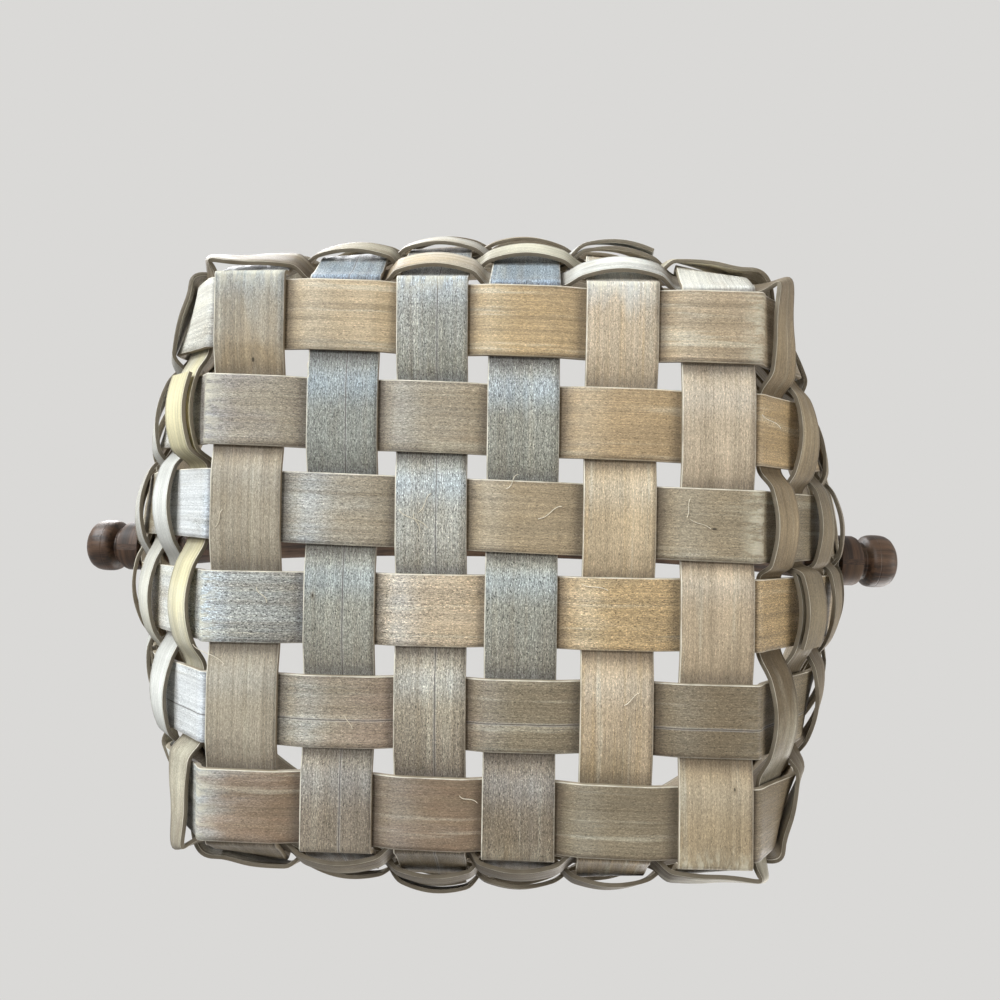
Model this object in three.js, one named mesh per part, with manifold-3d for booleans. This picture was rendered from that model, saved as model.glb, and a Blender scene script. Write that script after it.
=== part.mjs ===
// A gathering basket of flat wooden splints: a square open-work base, walls that round out to an
// oval rim of two bent hoops, and a bentwood bail that swings on turned wooden pins.
// Millimetres, +Z up through the basket, +X through the bail's pins, origin under the rim's centre.
import * as THREE from 'three';
import { mergeVertices } from 'three/addons/utils/BufferGeometryUtils.js';
import Module from 'manifold-3d';

const wasm = await Module();
wasm.setup();

// Base: columns run along Y and rows along X, laid a little unevenly by hand
const splintsEachWay = 6;
const splintWidth = 19.1;
const splintThickness = 1.3;
const columnPitch = 24.9;
const rowPitch = 26.1;
const columnDrift = [-0.1, 0.7, 0, -0.9, -0.3, 0.4];
const rowDrift = [0.1, 0.4, -0.2, -1, 0.1, 0.2];
const columnSkewDeg = [0.3, 0.4, 0.8, 0.3, 0, 0.3];
const rowSkewDeg = [1.4, 1.4, 1.4, -0.2, -0.2, 0.5];
const baseShift = { x: 3.1, y: -0.9 };

// Clearances: between crossing layers, and between pieces that stand beside each other
const layerGap = 0.34;
const weaverGap = 0.6;
const sideGap = 0.35;

// Rim: two hoops stand upright and grip the ends of the splints between them
const rimSpanX = 255;
const rimSpanY = 225;
const rimTop = 90;
const hoopHeight = 14;
const hoopThickness = 2.6;
const innerHoopGap = 0.35;
const outerHoopGap = 0.95;
const hoopLapAngle = 14;
const hoopTipGapAngle = 0.4;
const hoopFeather = 0.6;

// Wall: the splints turn up past the base's edge and bow outwards to the rim
const footClearance = 1.2;
const footDip = 2.8;
const footDipHeight = 2.4;
const bowlX = 0.72;
const bowlY = 0.85;
const squareness = 30;
const squarenessHeight = 8.7;
const fanPower = 1.5;

// Wall weavers: each row is one strip that goes once round and laps over its own start
const weaverWidth = 12.2;
const weaverThickness = 1.1;
const weaverRowGap = 1.1;
const firstRowHeight = 4.2;
const lastRowClearance = 2.2;
const weaverArch = 1.7;
const insideArch = 0.9;
const archEase = 0.9;
const cornerArchShare = 0.45;
const cornerFold = 1.5;
const cornerFlare = 1.5;
const flareSlope = 0.16;
const lapPasses = 2;
const lapGap = 0.9;
const lapStarts = [21, 8, 3, 15, 11, 1];

// Bail: a bent strip on two pins, with rounded ends
const bailThickness = 7.4;
const bailCrownThickness = 5.4;
const bailWidth = 18;
const bailCrownWidth = 20;
const bailRise = 160;
const bailLeg = 14;
const bailGap = 0.4;

// Pins: a turned knob and its shank in one piece, held inside by a glued collar
const shankRadius = 3.7;
const boreClearance = 0.35;
const knobRadius = 9.5;
const knobLength = 13;
const knobNeckRadius = 7;
const collarRadius = 6.6;
const collarThickness = 4;
const seatGap = 0.4;
const shankBeyondCollar = 1.2;
const shankChamfer = 0.6;

// Nails through both hoops, in the spaces between the splints' ends
const nailRadius = 0.6;
const nailHeadRadius = 2;
const nailHeadThickness = 0.6;
const nailClearance = 0.4;
const nailPoint = 0.5;
const nailEverySpaces = 2;

const roundSides = 20;
const nailSides = 8;

const uprightCount = 4 * splintsEachWay;
const gridCentre = (splintsEachWay - 1) / 2;
const hoopBottom = rimTop - hoopHeight;
const hoopMiddle = rimTop - hoopHeight / 2;
const layerLift = (splintThickness + layerGap) / 2;
const lowerLayer = splintThickness / 2;
const upperLayer = lowerLayer + 2 * layerLift;
const outerHoopRadiusX = (rimSpanX - hoopThickness) / 2;
const outerHoopRadiusY = (rimSpanY - hoopThickness) / 2;
const rimInset = (hoopThickness + splintThickness) / 2 + outerHoopGap;
const rimHalfX = outerHoopRadiusX - rimInset;
const rimHalfY = outerHoopRadiusY - rimInset;

const radians = THREE.MathUtils.degToRad;
const splintMaterial = (colour) => new THREE.MeshStandardMaterial({ color: colour, roughness: 0.7 });

// A strip of rectangular section along stations { centre, across, half, thick }
// `across` is the unit direction of its width, `half` half its width, `thick` half its thickness.
function stripSolid(stations, alongs = null) {
  const positions = [];
  const indices = [];
  stations.forEach((station, i) => {
    const before = stations[Math.max(i - 1, 0)].centre;
    const after = stations[Math.min(i + 1, stations.length - 1)].centre;
    const along = alongs ? alongs[i] : after.clone().sub(before);
    const normal = along.clone().cross(station.across).normalize();
    for (const [wide, deep] of [[-1, -1], [1, -1], [1, 1], [-1, 1]]) {
      const corner = station.centre.clone();
      corner.addScaledVector(station.across, wide * station.half);
      corner.addScaledVector(normal, deep * station.thick);
      positions.push(corner.x, corner.y, corner.z);
    }
  });
  for (let i = 0; i + 1 < stations.length; i += 1) {
    for (let side = 0; side < 4; side += 1) {
      const a = 4 * i + side;
      const b = 4 * i + ((side + 1) % 4);
      indices.push(a, b, b + 4, a, b + 4, a + 4);
    }
  }
  const last = 4 * (stations.length - 1);
  indices.push(0, 3, 2, 0, 2, 1, last, last + 1, last + 2, last, last + 2, last + 3);
  const geometry = new THREE.BufferGeometry();
  geometry.setAttribute('position', new THREE.Float32BufferAttribute(positions, 3));
  geometry.setIndex(indices);
  return geometry;
}

function toManifold(geometry) {
  const bare = geometry.clone();
  bare.deleteAttribute('normal');
  bare.deleteAttribute('uv');
  const merged = mergeVertices(bare);
  return new wasm.Manifold(new wasm.Mesh({
    numProp: 3,
    vertProperties: new Float32Array(merged.attributes.position.array),
    triVerts: new Uint32Array(merged.index.array),
  }));
}

function drilled(geometry, drills) {
  let solid = toManifold(geometry);
  for (const drill of drills) solid = solid.subtract(toManifold(drill));
  const mesh = solid.getMesh();
  const result = new THREE.BufferGeometry();
  result.setAttribute('position', new THREE.Float32BufferAttribute(mesh.vertProperties, 3));
  result.setIndex(new THREE.Uint32BufferAttribute(mesh.triVerts, 1));
  return result;
}

// A round drill of a length, centred on a point and along a direction
function drillAt(point, direction, radius, length, sides) {
  const cylinder = new THREE.CylinderGeometry(radius, radius, length, sides);
  const turn = new THREE.Quaternion().setFromUnitVectors(new THREE.Vector3(0, 1, 0), direction);
  cylinder.applyQuaternion(turn);
  cylinder.translate(point.x, point.y, point.z);
  return cylinder;
}

// Where a base splint's centre line lies, at a distance along it
function columnX(column, y) {
  const drift = columnDrift[column % columnDrift.length];
  const skew = radians(columnSkewDeg[column % columnSkewDeg.length]);
  return baseShift.x + (column - gridCentre) * columnPitch + drift + Math.tan(skew) * (y - baseShift.y);
}

function rowY(row, x) {
  const drift = rowDrift[row % rowDrift.length];
  const skew = radians(rowSkewDeg[row % rowSkewDeg.length]);
  return baseShift.y + (row - gridCentre) * rowPitch + drift + Math.tan(skew) * (x - baseShift.x);
}

// Uprights are counted round the basket from the first column's -Y end, towards +X
function uprightOf(index) {
  const wrapped = (index + uprightCount) % uprightCount;
  const side = Math.floor(wrapped / splintsEachWay);
  const along = wrapped % splintsEachWay;
  const splint = side < 2 ? along : splintsEachWay - 1 - along;
  const overColumns = side % 2 === 0;
  const sign = side === 0 || side === 3 ? -1 : 1;
  const angle = (wrapped - gridCentre) * 2 * Math.PI / uprightCount - Math.PI / 2;
  return { side, splint, overColumns, sign, angle };
}

// The wall's surface, midway through the splints, grows from the base's square to the rim's oval.
// Each upright's ring has the half spans that fit its own foot, just past the last splint it crosses.
function riseShare(z) {
  return THREE.MathUtils.clamp((z - lowerLayer) / (hoopBottom - lowerLayer), 0, 1);
}

function halfSpan(foot, rim, bowl, z) {
  const share = riseShare(z);
  const bowed = share * (1 + bowl) - bowl * share * share;
  const dip = footDip * (1 - Math.exp((lowerLayer - z) / footDipHeight)) * (1 - share);
  return foot + (rim - foot) * bowed - dip;
}

function ringAt(index, z) {
  const { splint, overColumns, sign } = uprightOf(index);
  const outermost = sign < 0 ? 0 : splintsEachWay - 1;
  const spare = splintWidth / 2 + sideGap + footClearance;
  const footX = overColumns
    ? gridCentre * columnPitch + spare
    : sign * (columnX(outermost, rowY(splint, sign * gridCentre * columnPitch)) - baseShift.x) + spare;
  const footY = overColumns
    ? sign * (rowY(outermost, columnX(splint, sign * gridCentre * rowPitch)) - baseShift.y) + spare
    : gridCentre * rowPitch + spare;
  const share = riseShare(z);
  return {
    halfX: halfSpan(footX, rimHalfX, bowlX, z),
    halfY: halfSpan(footY, rimHalfY, bowlY, z),
    centreX: baseShift.x * (1 - share),
    centreY: baseShift.y * (1 - share),
    power: 2 + squareness * Math.exp((lowerLayer - z) / squarenessHeight),
  };
}

function uprightPoint(index, z) {
  const { splint, overColumns, sign, angle } = uprightOf(index);
  const ring = ringAt(index, z);
  const fan = riseShare(z) ** fanPower;
  const besides = (reach) => (1 - Math.min(Math.abs(reach), 1) ** ring.power) ** (1 / ring.power);
  if (overColumns) {
    const x = THREE.MathUtils.lerp(columnX(splint, sign * ring.halfY), rimHalfX * Math.cos(angle), fan);
    return new THREE.Vector3(x, ring.centreY + sign * ring.halfY * besides((x - ring.centreX) / ring.halfX), z);
  }
  const y = THREE.MathUtils.lerp(rowY(splint, sign * ring.halfX), rimHalfY * Math.sin(angle), fan);
  return new THREE.Vector3(ring.centreX + sign * ring.halfX * besides((y - ring.centreY) / ring.halfY), y, z);
}

// A point on an upright with its directions: `level` round the wall, `across` its width, `out` of it
function uprightFrame(index, z) {
  const step = 0.5;
  const point = uprightPoint(index, z);
  const up = uprightPoint(index, z + step).sub(uprightPoint(index, z - step)).normalize();
  const ring = ringAt(index, z);
  const dx = (point.x - ring.centreX) / ring.halfX;
  const dy = (point.y - ring.centreY) / ring.halfY;
  const facingX = Math.sign(dx) * Math.abs(dx) ** (ring.power - 1) / ring.halfX;
  const facingY = Math.sign(dy) * Math.abs(dy) ** (ring.power - 1) / ring.halfY;
  const level = new THREE.Vector3(-facingY, facingX, 0).normalize();
  const across = level.clone().addScaledVector(up, -level.dot(up)).normalize();
  return { point, level, across, out: across.clone().cross(up) };
}

// Base splints: flat over and under each other, bent up at both ends of the base
const wallStations = 11;
const wallStationPower = 1.3;
const bendStations = 3;
const bendHeight = 2.6;
const splintTop = rimTop - 1;

function wallStationsOf(index, flatHeight, widthSign) {
  const heights = Array.from({ length: wallStations }, (_, i) => (
    THREE.MathUtils.lerp(flatHeight + bendHeight, hoopBottom, (i / (wallStations - 1)) ** wallStationPower)));
  return [...heights, splintTop].map((z) => {
    const { point, across } = uprightFrame(index, z);
    return { centre: point, across: across.multiplyScalar(widthSign) };
  });
}

// From the last flat station, round the bend, to the first station on the wall
function bendStationsBetween(flat, wall, index) {
  const corner = uprightPoint(index, flat.centre.z);
  const stations = [];
  for (let i = 1; i <= bendStations; i += 1) {
    const t = i / (bendStations + 1);
    const centre = flat.centre.clone().multiplyScalar((1 - t) ** 2);
    centre.addScaledVector(corner, 2 * t * (1 - t)).addScaledVector(wall.centre, t * t);
    stations.push({ centre, across: flat.across.clone().lerp(wall.across, t).normalize() });
  }
  return stations;
}

// Heights where a splint changes layer, in the space between two crossings
const crossingSteps = [[1 / 3, 7 / 27], [2 / 3, 20 / 27]];

function splintStations(placeAt, crossings, startIndex, endIndex, widthDirection, widthSigns) {
  const flat = [];
  crossings.forEach(({ from, to, height }, i) => {
    flat.push([from, height], [to, height]);
    if (i + 1 < crossings.length) {
      const next = crossings[i + 1];
      for (const [t, eased] of crossingSteps) {
        flat.push([THREE.MathUtils.lerp(to, next.from, t), THREE.MathUtils.lerp(height, next.height, eased)]);
      }
    }
  });
  const flatStations = flat.map(([along, height]) => ({ centre: placeAt(along, height), across: widthDirection }));
  const startWall = wallStationsOf(startIndex, crossings[0].height, widthSigns[0]);
  const endWall = wallStationsOf(endIndex, crossings.at(-1).height, widthSigns[1]);
  return [
    ...startWall.toReversed(),
    ...bendStationsBetween(flatStations[0], startWall[0], startIndex).toReversed(),
    ...flatStations,
    ...bendStationsBetween(flatStations.at(-1), endWall[0], endIndex),
    ...endWall,
  ].map((station) => ({ ...station, half: splintWidth / 2, thick: splintThickness / 2 }));
}

function columnSplint(column) {
  const middleX = columnX(column, baseShift.y);
  const skew = radians(columnSkewDeg[column % columnSkewDeg.length]);
  const crossings = Array.from({ length: splintsEachWay }, (_, row) => {
    const y = rowY(row, middleX);
    const height = (column + row) % 2 === 0 ? lowerLayer : upperLayer;
    return { from: y - splintWidth / 2 - sideGap, to: y + splintWidth / 2 + sideGap, height };
  });
  const placeAt = (y, z) => new THREE.Vector3(columnX(column, y), y, z);
  const widthDirection = new THREE.Vector3(Math.cos(skew), -Math.sin(skew), 0);
  return stripSolid(splintStations(
    placeAt, crossings, column, 3 * splintsEachWay - 1 - column, widthDirection, [1, -1]));
}

function rowSplint(row) {
  const middleY = rowY(row, baseShift.x);
  const skew = radians(rowSkewDeg[row % rowSkewDeg.length]);
  const crossings = Array.from({ length: splintsEachWay }, (_, column) => {
    const x = columnX(column, middleY);
    const height = (column + row) % 2 === 0 ? upperLayer : lowerLayer;
    return { from: x - splintWidth / 2 - sideGap, to: x + splintWidth / 2 + sideGap, height };
  });
  const placeAt = (x, z) => new THREE.Vector3(x, rowY(row, x), z);
  const widthDirection = new THREE.Vector3(-Math.sin(skew), Math.cos(skew), 0);
  return stripSolid(splintStations(
    placeAt, crossings, 4 * splintsEachWay - 1 - row, splintsEachWay + row, widthDirection, [-1, 1]));
}

// Lengths up each upright, so that the weavers keep their width where the wall leans more
const meridianStep = 0.5;

function meridianOf(index) {
  const marks = [{ z: firstRowHeight, length: 0 }];
  while (marks.at(-1).z < hoopBottom - lastRowClearance) {
    const { z, length } = marks.at(-1);
    const next = Math.min(z + meridianStep, hoopBottom - lastRowClearance);
    const stretch = uprightPoint(index, next).distanceTo(uprightPoint(index, z));
    marks.push({ z: next, length: length + stretch });
  }
  return marks;
}

const meridians = Array.from({ length: uprightCount }, (_, index) => meridianOf(index));
const shortestMeridian = Math.min(...meridians.map((marks) => marks.at(-1).length));
const weaverRows = Math.round(shortestMeridian / weaverWidth);

function heightAtLength(index, length) {
  const marks = meridians[(index + uprightCount) % uprightCount];
  const next = Math.max(marks.findIndex((mark) => mark.length >= length), 1);
  const low = marks[next - 1];
  const high = marks[next];
  return THREE.MathUtils.lerp(low.z, high.z, (length - low.length) / (high.length - low.length));
}

// The two edges of a weaver where it passes an upright, at `place` -1, 0 or 1 across the upright
const weaverOffset = (splintThickness + weaverThickness) / 2 + weaverGap;
const lapShift = weaverThickness + lapGap;

function crossingAt(index, z, place) {
  const { point, level, across, out } = uprightFrame(index, z);
  const reach = (splintWidth / 2 + sideGap) / level.dot(across);
  return { point: point.addScaledVector(level, place * reach), level, out };
}

function weaverPass(row, pass, start) {
  const index = (start + pass) % uprightCount;
  const along = index % splintsEachWay;
  const outside = (index + row) % 2 === 0;
  const facing = outside ? 1 : -1;
  const besideCorner = along % (splintsEachWay - 1) === 0;
  const arch = (outside ? weaverArch : insideArch) * (besideCorner ? cornerArchShare : 1);
  const pitch = meridians[index].at(-1).length / weaverRows;
  const half = Math.min(weaverWidth, pitch - weaverRowGap) / 2;
  const heightAt = (side) => heightAtLength(index, (row + 0.5) * pitch + side);
  let lift = weaverOffset;
  if (pass < lapPasses && !outside) lift += lapShift;
  if (pass >= uprightCount && outside) lift += lapShift;
  return [-1, 0, 1].map((place) => {
    const [low, middle, high] = [-half, 0, half].map((side) => crossingAt(index, heightAt(side), place));
    const chord = low.point.clone().add(high.point).multiplyScalar(0.5);
    const bulge = middle.point.sub(chord).dot(middle.out);
    const flares = outside && place !== 0 && along === (place < 0 ? 0 : splintsEachWay - 1);
    const flare = flares ? cornerFlare / (row + 1) ** 2 : 0;
    const away = facing * (lift + Math.max(facing * bulge, 0) + (place === 0 ? arch : 0) + flare);
    const slope = place * (flare > flareSlope ? flareSlope : -facing * archEase * 4 * arch / splintWidth);
    return [low, high].map(({ point, level, out }) => ({
      edge: point.addScaledVector(out, away),
      heading: level.clone().addScaledVector(out, slope).normalize(),
    }));
  });
}

function hermite(from, to, t, fold) {
  const span = fold * from.edge.distanceTo(to.edge);
  const point = from.edge.clone().multiplyScalar(2 * t ** 3 - 3 * t ** 2 + 1);
  point.addScaledVector(from.heading, span * (t ** 3 - 2 * t ** 2 + t));
  point.addScaledVector(to.edge, -2 * t ** 3 + 3 * t ** 2);
  return point.addScaledVector(to.heading, span * (t ** 3 - t ** 2));
}

function weaverStrip(row) {
  const start = Math.round(lapStarts[row % lapStarts.length]) % uprightCount;
  const passes = Array.from({ length: uprightCount + lapPasses }, (_, pass) => weaverPass(row, pass, start));
  const edges = [];
  passes.forEach((pass, i) => {
    for (const [low, high] of pass) edges.push([low.edge, high.edge]);
    if (i + 1 === passes.length) return;
    const atCorner = (start + i + 1) % splintsEachWay === 0;
    const steps = atCorner ? 5 : 2;
    const fold = atCorner ? 1 + cornerFold / (row + 1) ** 2 : 1;
    const [from, to] = [pass[2], passes[i + 1][0]];
    for (let step = 1; step <= steps; step += 1) {
      const t = step / (steps + 1);
      edges.push([hermite(from[0], to[0], t, fold), hermite(from[1], to[1], t, fold)]);
    }
  });
  return stripSolid(edges.map(([low, high]) => ({
    centre: low.clone().add(high).multiplyScalar(0.5),
    across: high.clone().sub(low).normalize(),
    half: low.distanceTo(high) / 2,
    thick: weaverThickness / 2,
  })));
}

// Rim hoops: ovals of bent wood whose feathered ends lap over each other
const hoopStations = 60;
const hoopLapStations = 4;
const upright = new THREE.Vector3(0, 0, 1);

function ovalPoint(radiusX, radiusY, angle, z) {
  return new THREE.Vector3(radiusX * Math.cos(angle), radiusY * Math.sin(angle), z);
}

function ovalHeading(radiusX, radiusY, angle) {
  return new THREE.Vector3(-radiusX * Math.sin(angle), radiusY * Math.cos(angle), 0).normalize();
}

function hoopStrip(radiusX, radiusY, lapStartDeg) {
  const lap = radians(hoopLapAngle);
  const tipGap = radians(hoopTipGapAngle);
  const turn = 2 * Math.PI + lap;
  const full = hoopThickness / 2;
  const feather = hoopFeather / 2;
  const lapped = (hoopThickness - layerGap) / 2 - feather;
  const marks = [];
  for (let i = 0; i <= hoopLapStations; i += 1) {
    const share = i / hoopLapStations;
    marks.push({ travelled: share * lap, thick: THREE.MathUtils.lerp(feather, lapped, share) });
  }
  const ends = marks.map(({ travelled, thick }) => ({ travelled: turn - travelled, thick })).toReversed();
  for (let i = 0; i <= hoopStations; i += 1) {
    const travelled = THREE.MathUtils.lerp(lap + tipGap, turn - lap - tipGap, i / hoopStations);
    marks.push({ travelled, thick: full });
  }
  marks.push(...ends);
  const headings = [];
  const stations = marks.map(({ travelled, thick }) => {
    const angle = radians(lapStartDeg) + travelled;
    const heading = ovalHeading(radiusX, radiusY, angle);
    headings.push(heading);
    const outwards = (travelled < turn / 2 ? 1 : -1) * (full - thick);
    const centre = ovalPoint(radiusX, radiusY, angle, hoopMiddle);
    centre.addScaledVector(heading.clone().cross(upright), outwards);
    return { centre, across: upright, half: hoopHeight / 2, thick };
  });
  return stripSolid(stations, headings);
}

const innerInset = rimInset + (hoopThickness + splintThickness) / 2 + innerHoopGap;
const innerHoopRadiusX = outerHoopRadiusX - innerInset;
const innerHoopRadiusY = outerHoopRadiusY - innerInset;
const outerFaceX = outerHoopRadiusX + hoopThickness / 2;
const innerFaceX = innerHoopRadiusX - hoopThickness / 2;
const innerFaceY = innerHoopRadiusY - hoopThickness / 2;
const spaceAngle = 2 * Math.PI / uprightCount;
const outwardX = new THREE.Vector3(1, 0, 0);
const drillLength = 30;

// The nails' places: every second space between splint ends, apart from the two with pins
const nailAngles = Array.from({ length: uprightCount }, (_, space) => space)
  .filter((space) => space % nailEverySpaces === 0 && space % (uprightCount / 2) !== 0)
  .map((space) => space * spaceAngle);

function nailPlace(angle) {
  const heading = ovalHeading(outerHoopRadiusX, outerHoopRadiusY, angle);
  const outwards = heading.clone().cross(upright);
  const middle = ovalPoint(outerHoopRadiusX, outerHoopRadiusY, angle, hoopMiddle);
  return { outwards, surface: middle.addScaledVector(outwards, hoopThickness / 2) };
}

const pinAxis = new THREE.Vector3(0, 0, hoopMiddle);
const rimDrills = [
  drillAt(pinAxis, outwardX, shankRadius + boreClearance, rimSpanX + drillLength, roundSides),
  ...nailAngles.map((angle) => {
    const { outwards, surface } = nailPlace(angle);
    return drillAt(surface, outwards, nailRadius + nailClearance, drillLength, nailSides);
  }),
];

// Nail: turned profile along its axis, head outside the outer hoop and point just through the inner one
const nailGrip = innerInset + hoopThickness + nailPoint;

function nailSolid() {
  const profile = [
    [0, -nailGrip], [nailRadius, -nailGrip], [nailRadius, seatGap],
    [nailHeadRadius, seatGap], [nailHeadRadius * 0.7, seatGap + nailHeadThickness], [0, seatGap + nailHeadThickness],
  ].map(([radius, height]) => new THREE.Vector2(radius, height));
  return new THREE.LatheGeometry(profile, nailSides);
}

// Pin: shank from the inside collar to the turned knob outside the bail, along +Y before it is laid
const bailInnerFace = outerFaceX + bailGap;
const bailOuterFace = bailInnerFace + bailThickness;
const knobSeat = bailOuterFace + seatGap;
const collarSeat = innerFaceX * Math.sqrt(1 - (collarRadius / innerFaceY) ** 2) - seatGap;
const shankEnd = collarSeat - collarThickness - shankBeyondCollar;

function pinSolid() {
  const profile = [
    [0, shankEnd], [shankRadius - shankChamfer, shankEnd], [shankRadius, shankEnd + shankChamfer],
    [shankRadius, knobSeat],
  ];
  const knob = [
    [knobNeckRadius, 0], [knobNeckRadius, 0.12], [knobRadius * 0.94, 0.24],
    [knobRadius, 0.45], [knobRadius, 0.7], [knobRadius * 0.83, 0.9], [knobRadius * 0.53, 1],
  ];
  for (const [radius, share] of knob) profile.push([radius, knobSeat + share * knobLength]);
  profile.push([0, knobSeat + knobLength]);
  return new THREE.LatheGeometry(profile.map(([radius, along]) => new THREE.Vector2(radius, along)), roundSides);
}

function collarSolid() {
  const bore = shankRadius + boreClearance;
  const edge = 0.8;
  const profile = [
    [bore, collarSeat - collarThickness], [collarRadius - edge, collarSeat - collarThickness],
    [collarRadius, collarSeat - collarThickness + edge], [collarRadius, collarSeat], [bore, collarSeat],
    [bore, collarSeat - collarThickness],
  ];
  return new THREE.LatheGeometry(profile.map(([radius, along]) => new THREE.Vector2(radius, along)), roundSides);
}

// Bail: straight legs past the pins, then half an oval over the basket, widest at the crown
const bailMiddleX = (bailInnerFace + bailOuterFace) / 2;
const bailArchStations = 24;
const bailEndStations = 4;

function bailStations() {
  const end = bailWidth / 2;
  const along = new THREE.Vector3(0, 1, 0);
  const leg = [];
  for (let i = 0; i <= bailEndStations; i += 1) {
    const angle = Math.PI / 2 * (1 - i / bailEndStations);
    const half = Math.max(end * Math.cos(angle), end * 0.25);
    const centre = new THREE.Vector3(bailMiddleX, 0, hoopMiddle - end * Math.sin(angle));
    leg.push({ centre, half, thick: bailThickness / 2 });
  }
  const arch = [];
  for (let i = 0; i <= bailArchStations; i += 1) {
    const angle = Math.PI * i / bailArchStations;
    const z = hoopMiddle + bailLeg + (bailRise - bailLeg) * Math.sin(angle);
    const half = THREE.MathUtils.lerp(bailWidth, bailCrownWidth, Math.sin(angle)) / 2;
    const thick = THREE.MathUtils.lerp(bailThickness, bailCrownThickness, Math.sin(angle)) / 2;
    arch.push({ centre: new THREE.Vector3(bailMiddleX * Math.cos(angle), 0, z), half, thick });
  }
  const otherLeg = leg.toReversed().map((station) => (
    { ...station, centre: new THREE.Vector3(-station.centre.x, 0, station.centre.z) }));
  return [...leg, ...arch, ...otherLeg].map((station) => ({ ...station, across: along }));
}

function bailSolid() {
  const reach = 2 * bailOuterFace + drillLength;
  return drilled(stripSolid(bailStations()), [
    drillAt(pinAxis, outwardX, shankRadius + boreClearance, reach, roundSides),
  ]);
}

const basket = new THREE.Group();

function addPiece(name, geometry, material) {
  const mesh = new THREE.Mesh(geometry, material);
  mesh.name = name;
  basket.add(mesh);
  return mesh;
}

const columnColours = ['#857d6c', '#7b7f80', '#7f8380', '#767f88', '#a19480', '#a28f7e'];
const rowColours = ['#a48869', '#8d857c', '#8f8578', '#9c8a72', '#857a6d', '#8a7762'];
const weaverColours = ['#b6ab8f', '#aca189', '#b0a68e', '#a89d85', '#aea38b', '#a69b84'];
const hoopMaterial = splintMaterial('#a3937a');
const darkWood = new THREE.MeshStandardMaterial({ color: '#3d2f26', roughness: 0.5 });
const nailMetal = new THREE.MeshStandardMaterial({ color: '#b9b9b5', roughness: 0.35, metalness: 1 });

for (let i = 0; i < splintsEachWay; i += 1) {
  addPiece(`column_splint_${i + 1}`, columnSplint(i), splintMaterial(columnColours[i % columnColours.length]));
  addPiece(`row_splint_${i + 1}`, rowSplint(i), splintMaterial(rowColours[i % rowColours.length]));
}

for (let row = 0; row < weaverRows; row += 1) {
  const colour = weaverColours[row % weaverColours.length];
  addPiece(`wall_weaver_${row + 1}`, weaverStrip(row), splintMaterial(colour));
}

addPiece('outer_rim_hoop', drilled(hoopStrip(outerHoopRadiusX, outerHoopRadiusY, 100), rimDrills), hoopMaterial);
addPiece('inner_rim_hoop', drilled(hoopStrip(innerHoopRadiusX, innerHoopRadiusY, 280), rimDrills), hoopMaterial);

nailAngles.forEach((angle, i) => {
  const { outwards, surface } = nailPlace(angle);
  const nail = addPiece(`rim_nail_${i + 1}`, nailSolid(), nailMetal);
  nail.position.copy(surface);
  nail.quaternion.setFromUnitVectors(new THREE.Vector3(0, 1, 0), outwards);
});

addPiece('bail', bailSolid(), darkWood);

for (const [name, turn] of [['left', Math.PI / 2], ['right', -Math.PI / 2]]) {
  for (const [piece, solid] of [['pivot_pin', pinSolid], ['pin_collar', collarSolid]]) {
    const mesh = addPiece(`${piece}_${name}`, solid(), darkWood);
    mesh.position.z = hoopMiddle;
    mesh.rotation.z = turn;
  }
}

export default basket;
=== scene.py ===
"""Dresses the gathering basket: weathered wooden splints, pale weavers, bent rim hoops and a dark bail.
Shapes are worked out in millimetres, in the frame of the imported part, and made into metres as meshes."""
import math

import bmesh
import bpy
import numpy as np
from mathutils import Matrix, Vector


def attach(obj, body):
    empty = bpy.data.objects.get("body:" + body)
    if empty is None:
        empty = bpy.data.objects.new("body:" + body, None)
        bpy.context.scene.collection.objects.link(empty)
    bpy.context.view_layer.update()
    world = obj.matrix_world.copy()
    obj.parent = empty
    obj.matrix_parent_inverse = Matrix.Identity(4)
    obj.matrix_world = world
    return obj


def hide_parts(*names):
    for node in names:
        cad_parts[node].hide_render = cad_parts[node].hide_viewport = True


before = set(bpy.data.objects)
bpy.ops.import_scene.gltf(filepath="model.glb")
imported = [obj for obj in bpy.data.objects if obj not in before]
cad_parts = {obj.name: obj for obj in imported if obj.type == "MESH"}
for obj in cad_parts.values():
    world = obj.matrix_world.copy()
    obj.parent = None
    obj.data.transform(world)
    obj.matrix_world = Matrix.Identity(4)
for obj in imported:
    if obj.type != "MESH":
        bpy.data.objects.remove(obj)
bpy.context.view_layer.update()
scene = bpy.context.scene
mm = 0.001

# Camera
# The photograph looks almost straight up at the woven base, from about 200 mm below it.
# A wide phone lens, so the flaring walls shrink away behind the base.
camera_place = Vector((16.7, -14.2, -197.3)) * mm
camera_turn = Vector((-0.0207, 0.0401, 0.0184))
frame_width_px = 1000
focal_px = 751


def add_object(name, data):
    made = bpy.data.objects.new(name, data)
    scene.collection.objects.link(made)
    return made


camera_data = bpy.data.cameras.new("camera")
camera_data.sensor_width = 36
camera_data.lens = camera_data.sensor_width * focal_px / frame_width_px
camera_data.clip_start = 0.01
camera = add_object("camera", camera_data)
scene.camera = camera
to_camera = Matrix.Rotation(camera_turn.length, 3, camera_turn)
right, down, ahead = to_camera
facing = Matrix((right, -down, -ahead)).transposed()
camera.matrix_world = Matrix.Translation(camera_place) @ facing.to_4x4()

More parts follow.
